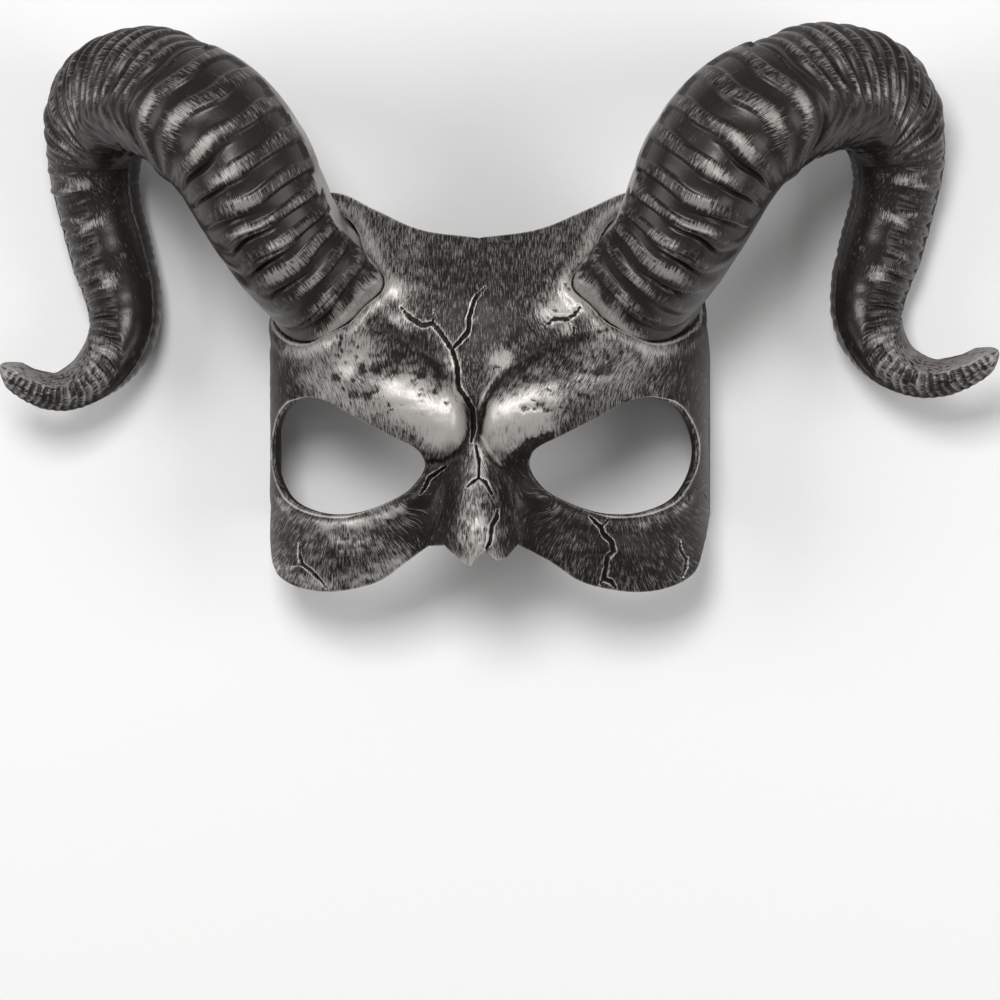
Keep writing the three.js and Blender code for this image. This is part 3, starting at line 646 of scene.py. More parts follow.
def cover_over_eyes(x, y, ax, horn):
    """Density of the silver on forehead and brows: it is bright on the brows' inner ends, half as dense
    along them, and thin on the forehead's middle. Towards the temples it fades away as painted shade."""
    cover = 0.19 + 0.15 * smooth(10, 28, ax) * smooth(38, 50, y) + 0.27 * ridge(ax, y, BROW_SPINE, 12)
    left, right = (bell((from_chain(x, y, BRIGHT_LOBES[side]) / 9) ** 1.5) for side in (-1, 1))
    ragged = 0.85 + 0.3 * unevenness(x / 2.2, y / 2.2, 44)
    cover = cover + 0.72 * left + 0.66 * right * ragged
    mottle = smooth(0.05, 0.6, unevenness(x / 2.9, y / 1.5, 45) + 0.3 * unevenness(x / 1.2, y / 0.9, 46))
    rubbed = np.maximum.reduce([share * ridge(x, y, chain, half) for share, half, chain in RUBBED])
    cover = cover * (1 - 0.75 * rubbed * mottle) - 0.06 * rubbed
    cover = cover + 0.3 * swelling(x, y, -46, 17, 13, 5, -0.45)
    # The fade towards the temples is painted shade; the collar round the horn takes silver
    return cover * (1 - 0.75 * smooth(54, 73, ax)) + 0.3 * bell((horn - 3.4) / 2.2) * smooth(74, 60, ax)


def cover_under_eyes(x, y, ax, eye):
    """Density of the silver under the brows: it is dense on the nose's front, thin beside it, and lies
    on the cheeks' rolls and edges. The soft patches on the cheeks are partly painted glints."""
    width = mix(3.4, 8.4, smooth(2, -30, y))
    mottle = unevenness(x / 2.4, y / 3.2, 47) + 0.6 * unevenness(x / 0.9, y / 1.2, 48)
    nose = np.exp(-np.abs((x - 0.6) / width) ** 2.6) * (0.56 + 0.26 * mottle)
    cheek = smooth(-12, -20, y) * smooth(16, 28, ax)
    cover = nose * smooth(5, 0, y) + cheek * np.where(x < 0, 0.22, 0.1)
    roll = bell((eye - 3.6) / 2.2) * cheek
    cover = cover + roll * np.where(x < 0, 0.42 * smooth(-16, -30, x), 0.1 + 0.2 * smooth(44, 58, x))
    edge = from_chain(ax, y, [(16, -33)] + CHEEK_EDGE)
    cover = cover + cheek * bell((edge - 2.5) / 3) * np.where(x < 0, 0.3, 0.12)
    lumps = unevenness(x / 4.2, y / 1.7, 51) + 0.6 * unevenness(x / 1.5, y / 0.9, 52)
    cover = cover * (1 + 0.4 * cheek * lumps)
    # Soft patches on the cheeks: silver smudges and painted glints
    smudges_and_glints = swelling(x, y, -41, -31, 10, 2.6, -0.2) + 0.6 * swelling(x, y, 31, -32, 6, 2.6)
    return cover + 0.3 * smudges_and_glints * (1 + unevenness(x / 1.6, y / 1.1, 49))


def shell_cover(point, g, y, eye, horn, crack, fold, pits):
    """How densely the brush laid silver on the outer face, from 0 to 1, painted highlights included.
    Raised edges, lips and the named places take more of it, and cracks, folds, clefts and pock marks less."""
    x, ax = point[..., 0], np.abs(point[..., 0])
    cover = mix(cover_over_eyes(x, y, ax, horn), cover_under_eyes(x, y, ax, eye), under_lobes(x, y))
    # Denser silver, and painted highlights, at the listed spots
    for bx, by, size, gain in SILVER_AND_HIGHLIGHT_SPOTS:
        cover = cover + gain * bell(np.hypot(x - bx, y - by) / size)
    crest = from_chains(x, y, (NOSE_CREST, FOLD_CREST))
    cover = cover + 0.3 * bell((crack - 1.5) / 0.5) + 0.55 * bell(crest / 0.7)
    cover = cover * (1 - 0.92 * (1 - smooth(0.5, 1.05, crack))) * (1 - 0.8 * bell(fold / 1.1))
    cover = cover * (1 - 0.9 * bell(from_chains(x, y, CLEFTS))) * (1 - 0.7 * smooth(0.35, 0.8, pits))
    blotch = 0.1 * unevenness(x / 7, y / 7, 41) + 0.07 * unevenness(x / 2.6, y / 3.4, 42)
    return np.clip(cover + blotch * (0.3 + cover), 0, 1) * (1 - smooth(GIRTH - 14, GIRTH - 2, np.abs(g)))


def shell_flow(x, y):
    """The way that the brush went: how far across its strokes a point lies, and how far along them. The
    strokes run down the forehead and nose, slant over the brows and spread round the eyes below."""
    side, ax = np.where(x < 0, -1.0, 1.0), np.abs(x)
    across = x - side * 0.5 * ridge(ax, y, BROW_SPINE, 16) * (y - 22)
    turn = np.arctan2(ax - EYE_CENTRE[0], -(y - EYE_CENTRE[1]))
    round_eye = side * (EYE_CENTRE[0] + 32 * turn)
    below = smooth(-6, -20, y) * smooth(12, 26, ax)
    across = mix(across, round_eye, below) + 0.8 * unevenness(x / 9, y / 9, 51)
    return np.stack([across, y + 0.6 * unevenness(x / 7, y / 7, 52)], axis=-1)


def rounded_edge(outer, inner, outwards, radius):
    """Loops from the outer face round to the inner one, as a rounded bar of exponent 3: the wall's half
    thickness times cos, and the radius outwards times sin, each to the power 2/3."""
    turns = np.linspace(0, np.pi, EDGE_LOOPS + 2)[1:-1, None, None]
    middle, half = (outer + inner) / 2, (outer - inner) / 2
    up = np.sign(np.cos(turns)) * np.abs(np.cos(turns)) ** (2 / 3)
    return middle + half * up + outwards * radius * np.sin(turns) ** (2 / 3)


def half_shell(side, wall, crack_depth):
    """One half of the shell: rows from the eye hole to the free edge over the outer face, round the edge,
    back over the inner face and round the hole's own edge. Gives its points and what they carry."""
    edge, out = edge_of_half(side)
    ends = edge - EDGE_RADIUS * out
    middle_y = np.linspace(ends[-1, 1], ends[0, 1], MIDDLE_POINTS)[1:-1]
    loop = np.vstack([ends, np.stack([0 * middle_y, middle_y], axis=1)])
    hole, into = ray_to_eye(loop)
    start = hole + EDGE_RADIUS * into

    def rows(count):
        share = (np.arange(count + 1) / count)[:, None, None]
        return mix(start[None], loop[None], share)

    out_g, out_y = np.moveaxis(rows(OUTER_ROWS), -1, 0)
    in_g, in_y = np.moveaxis(rows(INNER_ROWS)[::-1], -1, 0)
    broad = broad_point(side * out_g, out_y)
    height, eye, horn, crack, fold, pits = fine_relief(side * out_g, out_y, broad, crack_depth)
    outer = broad + section_normal(side * out_g, out_y) * height[..., None]
    inner = inner_point(side * in_g, in_y, wall)
    rim = np.vstack([edge, loop[len(edge):]])
    rim_point = outer_point(side * rim[:, 0], rim[:, 1], crack_depth)
    hole_point = outer_point(side * hole[:, 0], hole[:, 1], crack_depth)
    free = rounded_edge(outer[-1], inner[0], *directions(rim_point - outer[-1]))
    eye_edge = rounded_edge(inner[-1], outer[0], *directions(hole_point - outer[0]))
    points = np.concatenate([outer, free, inner, eye_edge])
    points[..., 2] = np.maximum(points[..., 2], 0)
    at_edge = slice(OUTER_ROWS, OUTER_ROWS + EDGE_LOOPS + 2)
    points[at_edge, len(edge) - 1:, 0] = 0
    points[at_edge, 0, 0] = 0
    cover = shell_cover(broad, side * out_g, out_y, eye, horn, crack, fold, pits)
    behind = np.full((len(points) - len(outer), len(loop)), NO_SILVER)
    bright = np.clip(cover[-1] + EDGE_GAIN * (np.abs(rim_point[:, 0]) < TEMPLE_X), 0, 1)
    behind[:2] = bright * 0.9
    behind[-2:] = np.clip(cover[0] + EYE_EDGE_GAIN, 0, 1)
    far = np.full_like(behind, FAR_OFF)
    weak = FAR_OFF * (1 - lip_strength(np.abs(broad[..., 0]), out_y))
    lip = np.concatenate([eye + weak, far])
    lip[-EDGE_LOOPS:] = 0
    return {
        "points": points,
        "edge_columns": len(edge),
        "silver": np.concatenate([cover, behind]),
        "crack": np.concatenate([crack, far]),
        "collar": np.concatenate([np.clip(horn, -FAR_OFF, FAR_OFF), far]),
        "lip": lip,
        "flow": shell_flow(points[..., 0], points[..., 1]),
    }


def directions(vectors):
    """Unit directions and lengths of the vectors; a vector of no length keeps none."""
    length = np.linalg.norm(vectors, axis=-1, keepdims=True)
    return vectors / np.maximum(length, 1e-9), length


def build_shell(wall, crack_depth):
    """Both halves as one closed mesh. They share the points of the middle line."""
    halves = {side: half_shell(side, wall, crack_depth) for side in (1, -1)}
    numbers, faces, first = {}, [], 0
    for side, half in halves.items():
        rows, columns = half["points"].shape[:2]
        number = np.arange(rows * columns).reshape(rows, columns) + first
        first += rows * columns
        numbers[side] = number
    right, left = halves[1], halves[-1]
    right_middle = np.r_[right["edge_columns"] - 1:numbers[1].shape[1], 0]
    left_middle = np.r_[left["edge_columns"] - 1:numbers[-1].shape[1], 0]
    meeting = np.arange(OUTER_ROWS, OUTER_ROWS + EDGE_LOOPS + 2)[:, None]
    numbers[-1][meeting, left_middle] = numbers[1][meeting, right_middle]
    for side, half in halves.items():
        number = numbers[side]
        below = np.vstack([number[1:], number[:1]])
        quads = np.stack([number, below, np.roll(below, -1, axis=1), np.roll(number, -1, axis=1)], axis=-1)
        quads = quads if side > 0 else quads[..., ::-1]
        at_edge = slice(OUTER_ROWS, OUTER_ROWS + EDGE_LOOPS + 1)
        kept = np.ones(quads.shape[:2], bool)
        kept[at_edge, half["edge_columns"] - 1:] = False
        faces.append(quads[kept])
    faces = np.vstack(faces)
    used, faces = np.unique(faces, return_inverse=True)
    faces = faces.reshape(-1, 4)

    def gather(key, width):
        return np.vstack([halves[side][key].reshape(-1, width) for side in (1, -1)])[used]

    values = {key: gather(key, 1)[:, 0] for key in ("silver", "crack", "collar", "lip")}
    points = in_row_frame(gather("points", 3))
    return make_mesh("half_mask_shell", points, [faces], values, gather("flow", 2))


def cut_strap_slots(shell):
    """Cuts a slot with round ends through each temple, by one bar that goes from side to side."""
    turn = np.linspace(0, 2 * np.pi, SLOT_CORNERS, endpoint=False) + np.pi / SLOT_CORNERS
    half = STRAP_SLOT["width"] / 2
    y = STRAP_SLOT["y"] + half * np.cos(turn) + (STRAP_SLOT["length"] / 2 - half) * np.sign(np.cos(turn))
    z = STRAP_SLOT["z"] + half * np.sin(turn)
    reach = HALF_WIDTH + BAR_OVERHANG
    rings = [np.stack([np.full_like(y, x), y, z], axis=-1) for x in (-reach, reach)]
    first = np.arange(len(turn))
    second = np.roll(first, -1)
    sides = np.stack([first, second, second + len(turn), first + len(turn)], axis=-1)
    caps = [first[None, ::-1], first[None] + len(turn)]
    bar = make_mesh("strap_bar", in_row_frame(np.vstack(rings)), [sides, *caps], {})
    bar.data.polygons.foreach_set("use_smooth", np.zeros(len(bar.data.polygons), bool))
    cut = shell.modifiers.new("strap slots", "BOOLEAN")
    cut.object = bar
    cut.operation = "DIFFERENCE"
    shown = shell.evaluated_get(bpy.context.evaluated_depsgraph_get())
    whole, shell_mesh = shell.data, bpy.data.meshes.new_from_object(shown)
    shell.modifiers.clear()
    shell.data = shell_mesh
    bpy.data.meshes.remove(whole)
    bpy.data.meshes.remove(bar.data)


def surface_gap(point, crack_depth):
    """How far a point is outside the shell's outer face, measured square to the level section, and the g
    of the place under it. With no crack depth given it is how far outside the broad form. The nearest
    place of the plain section is found in four steps along its tangent."""
    x, y, z = np.abs(point[..., 0]), point[..., 1], point[..., 2]
    g = np.clip(np.arctan2(x, np.maximum(z - SKIRT, 0.1)) * GIRTH * 2 / np.pi, 0, GIRTH)
    for _ in range(4):
        base = plain_point(g, y)
        slope = (plain_point(g + 0.2, y) - plain_point(g - 0.2, y)) / 0.4
        off = np.stack([x, y, z], axis=-1) - base
        g = np.clip(g + np.sum(off * slope, axis=-1) / np.sum(slope * slope, axis=-1), 0, GIRTH)
    base = plain_point(g, y)
    off = np.stack([x, y, z], axis=-1) - base
    normal = section_normal(g, y)
    relief = broad_relief(base[..., 0], y)
    if crack_depth is None:
        return np.sum(off * normal, axis=-1) - relief, g
    height = fine_relief(g, y, base + normal * relief[..., None], crack_depth)[0]
    return np.sum(off * normal, axis=-1) - relief - height, g


HORN_ROWS = 850
HORN_COLUMNS = 104
FOOT_ROWS = 6
HORN_LINE = spaced(smooth_curve(HORN_STATIONS, steps=80), 0.3)
HORN_LENGTH = lengths_along(HORN_LINE)[-1]
HORN_SHARES = np.linspace(0, 1, len(HORN_LINE))
HORN_TANGENTS = unit(np.gradient(HORN_LINE[:, :3], axis=0))


def horn_frame(t):
    """Centre, radius and the directions outside (of the curl) and front, at shares t of the length."""
    line, tangent = (
        np.stack([np.interp(t, HORN_SHARES, column) for column in table.T], axis=-1)
        for table in (HORN_LINE, HORN_TANGENTS)
    )
    tangent = unit(tangent)
    front = unit(np.array([0, 0, 1.0]) - tangent[..., 2:3] * tangent)
    return line[..., :3], line[..., 3], np.cross(front, tangent), front


def horn_zones(t):
    """Shares of the horn's four stretches: the rise, the bend behind the fold, the hanging limb and the
    hooked tip."""
    bend = smooth(FOLD_AT - 0.002, FOLD_AT + 0.002, t)
    limb = smooth(ELBOW_AT - 0.05, ELBOW_AT + 0.04, t)
    hook = smooth(HOOK_AT - 0.05, HOOK_AT + 0.05, t)
    return 1 - bend, bend * (1 - limb), limb * (1 - hook), hook


def along_rings(t, angle, foot):
    """The share of the length that a ring through a point would have on a straight horn. The rings
    follow the foot's own edge at the bottom, and near the fold they follow the fold."""
    fold = 0.01 * bell(from_angle(angle, 1.9) / 0.45) - 0.028 * bell(from_angle(angle, np.pi) / 0.6)
    low = 0.6 * (foot - np.mean(foot)) * (1 - smooth(0, 0.15, t - foot))
    return t - fold * bell((t - FOLD_AT) / 0.06) - low


def ring_phase(t, angle):
    """How many rings lie below a point. Each is about a quarter of the radius long."""
    rise, bend, limb, hook = horn_zones(HORN_SHARES)
    period = 0.27 * HORN_LINE[:, 3] + 1.2
    period = period * (1.04 * rise + 0.68 * bend + 0.98 * limb + 0.9 * hook)
    count = np.concatenate([[0], np.cumsum(HORN_LENGTH / (len(HORN_SHARES) - 1) / period[1:])])
    wobble = 0.13 * unevenness(t * 24, 40 + np.cos(angle) * 2.2, 61)
    wobble = wobble + 0.09 * unevenness(t * 60, 40 + np.sin(angle) * 3, 62)
    return np.interp(t, HORN_SHARES, count) + wobble


def seam_angles(t):
    """Angles of the two parting lines, outside and inside the curl."""
    rise, bend, limb, hook = horn_zones(t)
    inside = 3.3 * rise + 2.9 * bend + 2.5 * limb + 2.95 * hook
    return -0.12 - 0.25 * bend, inside


def wrinkles(phase, turn, seed):
    """Short sharp creases along the rings, each deepest in its middle, with a soft roll beside it."""
    ring = np.round(phase)
    strength = smooth(-0.35, 0.5, unevenness(ring * 0.71 + 7, 0 * ring, seed))
    middle = 2.05 + 0.35 * unevenness(ring * 0.63 + 3, 0 * ring, seed + 1)
    off = phase - ring + 0.16 * unevenness(turn * 2.1, ring * 0.77 + 9, seed + 2)
    reach = bell((turn - middle) / 0.42) * strength
    return reach * (0.55 * bell((off - 0.17) / 0.12) - 1.25 * bell(off / mix(0.03, 0.06, reach)))


def horn_relief(t, angle, radius, foot, ridge_height, seam_height):
    """Relief in millimetres at share t of the length and an angle round the horn, and how much silver it
    takes, with painted highlights, rim light and sheen among it. In front of the parting lines, bands
    stand up between dark smooth panels on the outside of the curl and crumple into wrinkles towards the
    inside. Behind them the rings are low and close."""
    along = along_rings(t, angle, foot)
    rise, bend, limb, hook = horn_zones(along)
    seam_out, seam_in = seam_angles(t)
    turn = np.mod(angle - seam_out, 2 * np.pi)
    width = np.mod(seam_in - seam_out, 2 * np.pi)
    painted = smooth(0, 0.03, turn) * smooth(width + 0.015, width - 0.015, turn)
    phase = ring_phase(along, angle)
    ring = np.round(phase)
    odd = unevenness(ring * 0.83 + 2, 0 * ring, 63)
    off = np.abs(phase - ring)
    above = (t - foot) * HORN_LENGTH

    # The relief: where the bands start and end between the parting lines, and how they are shaped
    margin = (mix(17.5, 9.5, smooth(0.06, 0.27, t)) + 3.4 * odd) * rise
    margin = margin + 0.4 * limb + 1.3 * radius * hook
    start = turn * radius - margin
    panel_end = (2.1 + 0.3 * odd) * rise + (2.25 + 0.15 * odd) * bend + 1.45 * limb + 3.0 * hook
    within = smooth(0, 1.5, start) * (1 - smooth(panel_end - 0.35, panel_end + 0.2, turn))
    groove = smooth(0.16, 0.27, off) * within
    crumple = smooth(1.3, 1.9, turn) * (1 - smooth(2.7, 3.2, turn)) * rise
    pillow = 0.5 + 0.5 * np.cos(2 * np.pi * phase)
    bands = -groove * (1 - 0.75 * crumple) + crumple * (0.75 * pillow - 0.5)
    folds = crumple * (wrinkles(phase + 0.42, turn, 64) + 0.8 * wrinkles(phase + 0.12, turn, 67))
    ribs = np.abs(np.cos(np.pi * phase)) ** 1.6 * (1 + 0.5 * odd)
    ribs = ribs + 0.28 * unevenness(phase * 3, turn * 1.4, 70)
    waver = 1.6 * unevenness(phase * 1.3, turn * 1.1, 79)
    fine_ribs = np.abs(np.cos(2 * np.pi * phase + waver)) ** 1.4 - 1
    fine_ribs = 0.5 * fine_ribs * within * smooth(FOLD_AT + 0.05, ELBOW_AT - 0.06, t) * (1 - hook)
    ribs = (ribs - 1) * within + fine_ribs
    size = rise * (bands + 1.7 * folds) + ribs * (1.2 * bend + 0.8 * limb + 0.8 * hook)
    inner = smooth(2.2, 2.6, turn) * bend
    streaks = 0.42 * inner * unevenness(t * 210 + 14 * turn, 6 * turn, 73)
    back = -0.35 * (1 - np.cos(2 * np.pi * phase * mix(1.0, 1.35, limb)))
    back = back * (0.15 * rise + 0.5 * bend + 0.35 * limb + 0.4 * hook) * (1 + 0.6 * odd)
    height = ridge_height * mix(back, size + streaks, painted)
    seam = np.minimum(from_angle(angle, seam_out), from_angle(angle, seam_in)) * radius
    height = height + seam_height * bell((seam - 0.4) / 0.5) - 0.45 * (1 - painted)
    height = height + 0.14 * unevenness(t * 75, 40 + 3 * np.sin(angle), 74)
    height = height + 0.2 * smooth(7, 2, above) * unevenness(t * 200, 20 * turn, 77)
    behind_fold = along - FOLD_AT
    gap = FOLD_GAP * smooth(-0.001, 0.001, behind_fold) * smooth(0.014, 0.003, behind_fold)
    height = height - gap * painted

    # The silver, with painted light among it: on the bands' crests and edges, in the hook's upper side, in
    # smudges and by the seams. The outer edge strip is partly painted rim light, the glints and ring ends
    # are painted highlights, and the hook's upper side is partly a painted sheen
    soft = (1 - smooth(0.1, 0.33, off)) * within
    crest = 0.8 * rise * (1 - 0.35 * crumple) + 0.6 * bend + 0.55 * limb + 0.75 * hook
    crest = soft * (0.5 + 0.25 * odd) * crest
    # The strip along the outside of the curl: silver, made paler still as painted rim light
    edge = smooth(0.03, 0.15, turn) * (1 - smooth(-1.6, 0.8, start)) * rise
    # Painted highlights where the band crests meet the wrinkles
    glint = bell((turn - 1.85 - 0.25 * odd) / 0.25) * bell(off / 0.22) * rise
    foot_patch = smooth(8, 3, above - 2 * unevenness(turn * 4, 0 * turn, 78)) * smooth(2.5, 1.6, turn)
    blotch = unevenness(t * 30, 40 + 3 * np.cos(angle), 75)
    smudges_and_glints = smooth(0.1, 0.55, unevenness(phase * 0.7, 40 + turn * 1.3, 76))
    smudges_and_glints = smudges_and_glints * bell((turn - 1.5) / 0.4) * limb + 0.5 * smudges_and_glints * bell((turn - 2.2) / 0.5) * hook
    # Painted highlights at the inner ends of the rings in the bend
    ends = bell((turn - panel_end + 0.15) / 0.14) * bell(off / 0.2) * bend
    cover = 0.03 + 0.66 * crest + 1.25 * edge * (0.8 + blotch) + 0.4 * glint + 0.5 * foot_patch
    cover = cover + 0.6 * smudges_and_glints + 0.42 * ends + 0.04 * blotch + 0.2 * crumple * pillow
    # The hook's smooth upper side: silver together with a painted sheen
    upper = smooth(0.15, 0.5, turn) * smooth(1.6, 1.3, turn)
    cover = cover + hook * (0.15 * within + 0.5 * upper + 0.2 * smooth(0.93, 0.99, t))
    cover = cover + 0.05 * limb * within
    cover = cover + 0.16 * bell((turn - 1.7) / 0.8) * (bend + 0.7 * limb) * (0.7 + blotch)
    cover = cover * (1 - 0.5 * smooth(2.5, 3.1, turn) * rise) * (1 - 0.7 * inner) * painted
    cover = cover * (1 - smooth(-0.001, 0.002, behind_fold) * smooth(0.02, 0.008, behind_fold))
    cover = cover + 0.5 * bell((seam - 0.45) / 0.35) * (limb + 0.6 * hook) * (turn > 1) * painted
    return height, np.clip(cover, 0, 1)


def horn_point(t, angle, side, foot, ridge_height, seam_height):
    """A point of the horn's surface in its place, and how much silver it takes. The radius is that
    of the path, with the foot's shape, a shoulder, a flatter inside and a swelling before the fold."""
    centre, radius, outside, front = horn_frame(t)
    height, cover = horn_relief(t, angle, radius, foot, ridge_height, seam_height)
    shoulder = 0.035 * bell(from_angle(angle, 2) / 0.35) - 0.05 * bell(from_angle(angle, 2.9) / 0.6)
    to_fold = along_rings(t, angle, foot) - FOLD_AT
    swell = smooth(-0.1, 0, to_fold) * (1 - smooth(0, 0.003, to_fold))
    swell = 0.075 * swell * (1 - smooth(1.0, 2.1, from_angle(angle, 1.7)))
    slim = np.minimum(foot_shape(angle), 0) * (1 - smooth(0.07, 0.22, t))
    corner = np.maximum(foot_shape(angle), 0) * (1 - smooth(0.06, 0.105, t))
    tip = np.sqrt(np.clip((1 - t) / TIP_ROUNDING, 0, 1))
    size = radius * (1 + shoulder) * (1 + swell) + slim + corner + height * smooth(1, 0.95, t) + HORN_SKIN
    along_x, along_z = (size * tip * np.cos(angle))[..., None], (size * tip * np.sin(angle))[..., None]
    point = centre + outside * along_x + front * along_z
    x = side * point[..., 0] + STRAY_X * smooth(0, 0.6, t) + TIP_STRAY[side] * smooth(0.85, 1, t)
    y = point[..., 1] + side * STRAY_Y * smooth(0.5, 1, t)
    return np.stack([x, y, np.maximum(0, point[..., 2])], axis=-1), cover


def ring_on_shell(side, crack_depth):
    """For each angle, the share of the length at which the horn comes out of the shell, and the point
    there: the last place of a fine row of trials that is still under the outer face."""
    angle = np.arange(HORN_COLUMNS) * 2 * np.pi / HORN_COLUMNS
    trial = np.linspace(0.0, *FOOT_TRIALS)[:, None] + 0 * angle
    point = horn_point(trial, angle + 0 * trial, side, 0 * trial, 0, 0)[0]
    gap = surface_gap(point, crack_depth)[0]
    under = gap < FOOT_SINK
    last = under.shape[0] - 1 - np.argmax(under[::-1], axis=0)
    last = last * np.any(under, axis=0)
    return trial[last, 0], point[last, np.arange(HORN_COLUMNS)]


def build_horn(name, side, ridge_height, seam_height, crack_depth):
    """A horn as one closed mesh: rings of points from where it leaves the shell to its tip, and a foot
    that lies on the shell."""
    foot = ring_on_shell(side, crack_depth)[0]
    smoothed = np.mean([np.roll(foot, k) for k in range(-2, 3)], axis=0)
    start = smoothed.mean()
    share = np.linspace(0, 1, HORN_ROWS)[:, None]
    t = start + (LAST_SHARE - start) * share + (smoothed - start) * (1 - smooth(0, 0.3, share))
    angle = np.arange(HORN_COLUMNS)[None, :] * 2 * np.pi / HORN_COLUMNS + 0 * t
    points, cover = horn_point(t, angle, side, smoothed + 0 * t, ridge_height, seam_height)
    ring = points[0]
    _, ring_g = surface_gap(ring, crack_depth)
    ring_y = ring[:, 1]
    inwards = (np.arange(1, FOOT_ROWS + 1) / (FOOT_ROWS + 1))[::-1, None]
    cap_g = mix(ring_g[None], ring_g.mean(), inwards)
    cap_y = mix(ring_y[None], ring_y.mean(), inwards)
    cap = outer_point(side * cap_g, cap_y, crack_depth, GLUE_GAP)
    at = np.array([side * ring_g.mean()]), np.array([ring_y.mean()])
    middle = outer_point(*at, crack_depth, GLUE_GAP)
    at = np.array([1.0]), np.array([0.0])
    tip = horn_point(*at, side, np.array([start]), ridge_height, seam_height)[0]
    grid = np.concatenate([cap, points])
    rows = len(grid)
    number = np.arange(rows * HORN_COLUMNS).reshape(rows, HORN_COLUMNS)
    turned = np.roll(number, -1, axis=1)
    quads = np.stack([number[:-1], turned[:-1], turned[1:], number[1:]], axis=-1).reshape(-1, 4)
    centre, end = rows * HORN_COLUMNS, rows * HORN_COLUMNS + 1
    low = np.stack([np.full(HORN_COLUMNS, centre), turned[0], number[0]], axis=-1)
    high = np.stack([number[-1], turned[-1], np.full(HORN_COLUMNS, end)], axis=-1)
    faces = [quads, low, high] if side > 0 else [face[:, ::-1] for face in (quads, low, high)]
    placed = in_row_frame(np.vstack([grid.reshape(-1, 3), middle, tip]))

    bare = 0 * cap[..., 0]
    silver = np.concatenate([bare.ravel(), cover.ravel(), [0, cover[-1, 0]]])
    across = np.concatenate([bare, np.minimum(angle, 2 * np.pi - angle) * horn_frame(t)[1]])
    along = np.concatenate([bare, t * HORN_LENGTH])
    flow = np.stack([across, along], axis=-1).reshape(-1, 2)
    flow = np.vstack([flow, [[0, 0], [0, HORN_LENGTH]]])
    return make_mesh(name, placed, faces, {"silver": silver}, flow)


def feed(socket, value):
    """Joins an input to another node's output, or sets it to a plain value."""
    if isinstance(value, bpy.types.NodeSocket):
        socket.id_data.links.new(value, socket)
    else:
        socket.default_value = value


def add_node(tree, kind, inputs, **settings):
    """A shader node of a kind with its settings, and its inputs by name or number."""
    node = tree.nodes.new("ShaderNode" + kind)
    for name, value in settings.items():
        setattr(node, name, value)
    for key, value in inputs.items():
        feed(node.inputs[key], value)
    return node


def math_node(tree, operation, *values):
    """A Math node fed by sockets or plain numbers; gives its result."""
    return add_node(tree, "Math", dict(enumerate(values)), operation=operation).outputs[0]


def step_node(tree, value, low, high, to_low=0.0, to_high=1.0):
    """A smooth step of a value between two limits, each a socket or a number."""
    inputs = {"Value": value, "From Min": low, "From Max": high, "To Min": to_low, "To Max": to_high}
    return add_node(tree, "MapRange", inputs, interpolation_type="SMOOTHSTEP").outputs["Result"]


def noise_node(tree, vector, scale, detail, roughness):
    """A noise texture's value."""
    inputs = {"Vector": vector, "Scale": scale, "Detail": detail, "Roughness": roughness}
    return add_node(tree, "TexNoise", inputs).outputs["Fac"]


def stroke_noise(tree, flow, across, along):
    """Noise over the brush's way, with its own scale across the strokes and along them."""
    stretched = add_node(tree, "VectorMath", {0: flow, 1: (across, along, 1)}, operation="MULTIPLY")
    return noise_node(tree, stretched.outputs[0], 1.0, 2.0, 0.6)


def colour_mix(tree, share, first, second):
    """Two colours, sockets or plain, mixed by a share."""
    node = add_node(tree, "Mix", {"Factor": share}, data_type="RGBA")
    sockets = [socket for socket in node.inputs if socket.type == "RGBA"]
    for socket, colour in zip(sockets, (first, second)):
        feed(socket, colour)
    return next(socket for socket in node.outputs if socket.type == "RGBA")


def shade(colour, gain):
    """A colour multiplied by a number, with full alpha."""
    return (*(gain * c for c in colour), 1)


def attribute_node(tree, name):
    """The value that a mesh carries under a name."""
    return add_node(tree, "Attribute", {}, attribute_type="GEOMETRY", attribute_name=name).outputs["Fac"]


def group_node(tree, name, inputs):
    """A group placed in a tree; gives its outputs."""
    return add_node(tree, "Group", inputs, node_tree=bpy.data.node_groups[name]).outputs


def bump_node(tree, height, distance, **under):
    """A bump of full strength, over the normal of another bump if one is given."""
    inputs = {"Strength": 1.0, "Distance": distance, "Height": height, **under}
    return add_node(tree, "Bump", inputs).outputs[0]


def new_group(name, inputs, outputs):
    """An empty shader group, its inputs as (name, kind, default) and its outputs, all numbers, by name.
    Gives it with the sockets that its nodes read from and write to."""
    group = bpy.data.node_groups.new(name, "ShaderNodeTree")
    for label, kind, default in inputs:
        socket = group.interface.new_socket(name=label, in_out="INPUT", socket_type="NodeSocket" + kind)
        if default is not None:
            socket.default_value = default
    for label in outputs:
        group.interface.new_socket(name=label, in_out="OUTPUT", socket_type="NodeSocketFloat")
    return group, group.nodes.new("NodeGroupInput").outputs, group.nodes.new("NodeGroupOutput").inputs


def new_material(name):
    """An empty material, its tree, its shader's inputs and the place in the object's own coordinates."""
    material = bpy.data.materials.new(name)
    material.use_nodes = True
    tree = material.node_tree
    place = add_node(tree, "TexCoord", {}).outputs["Object"]
    return material, tree, tree.nodes["Principled BSDF"].inputs, place


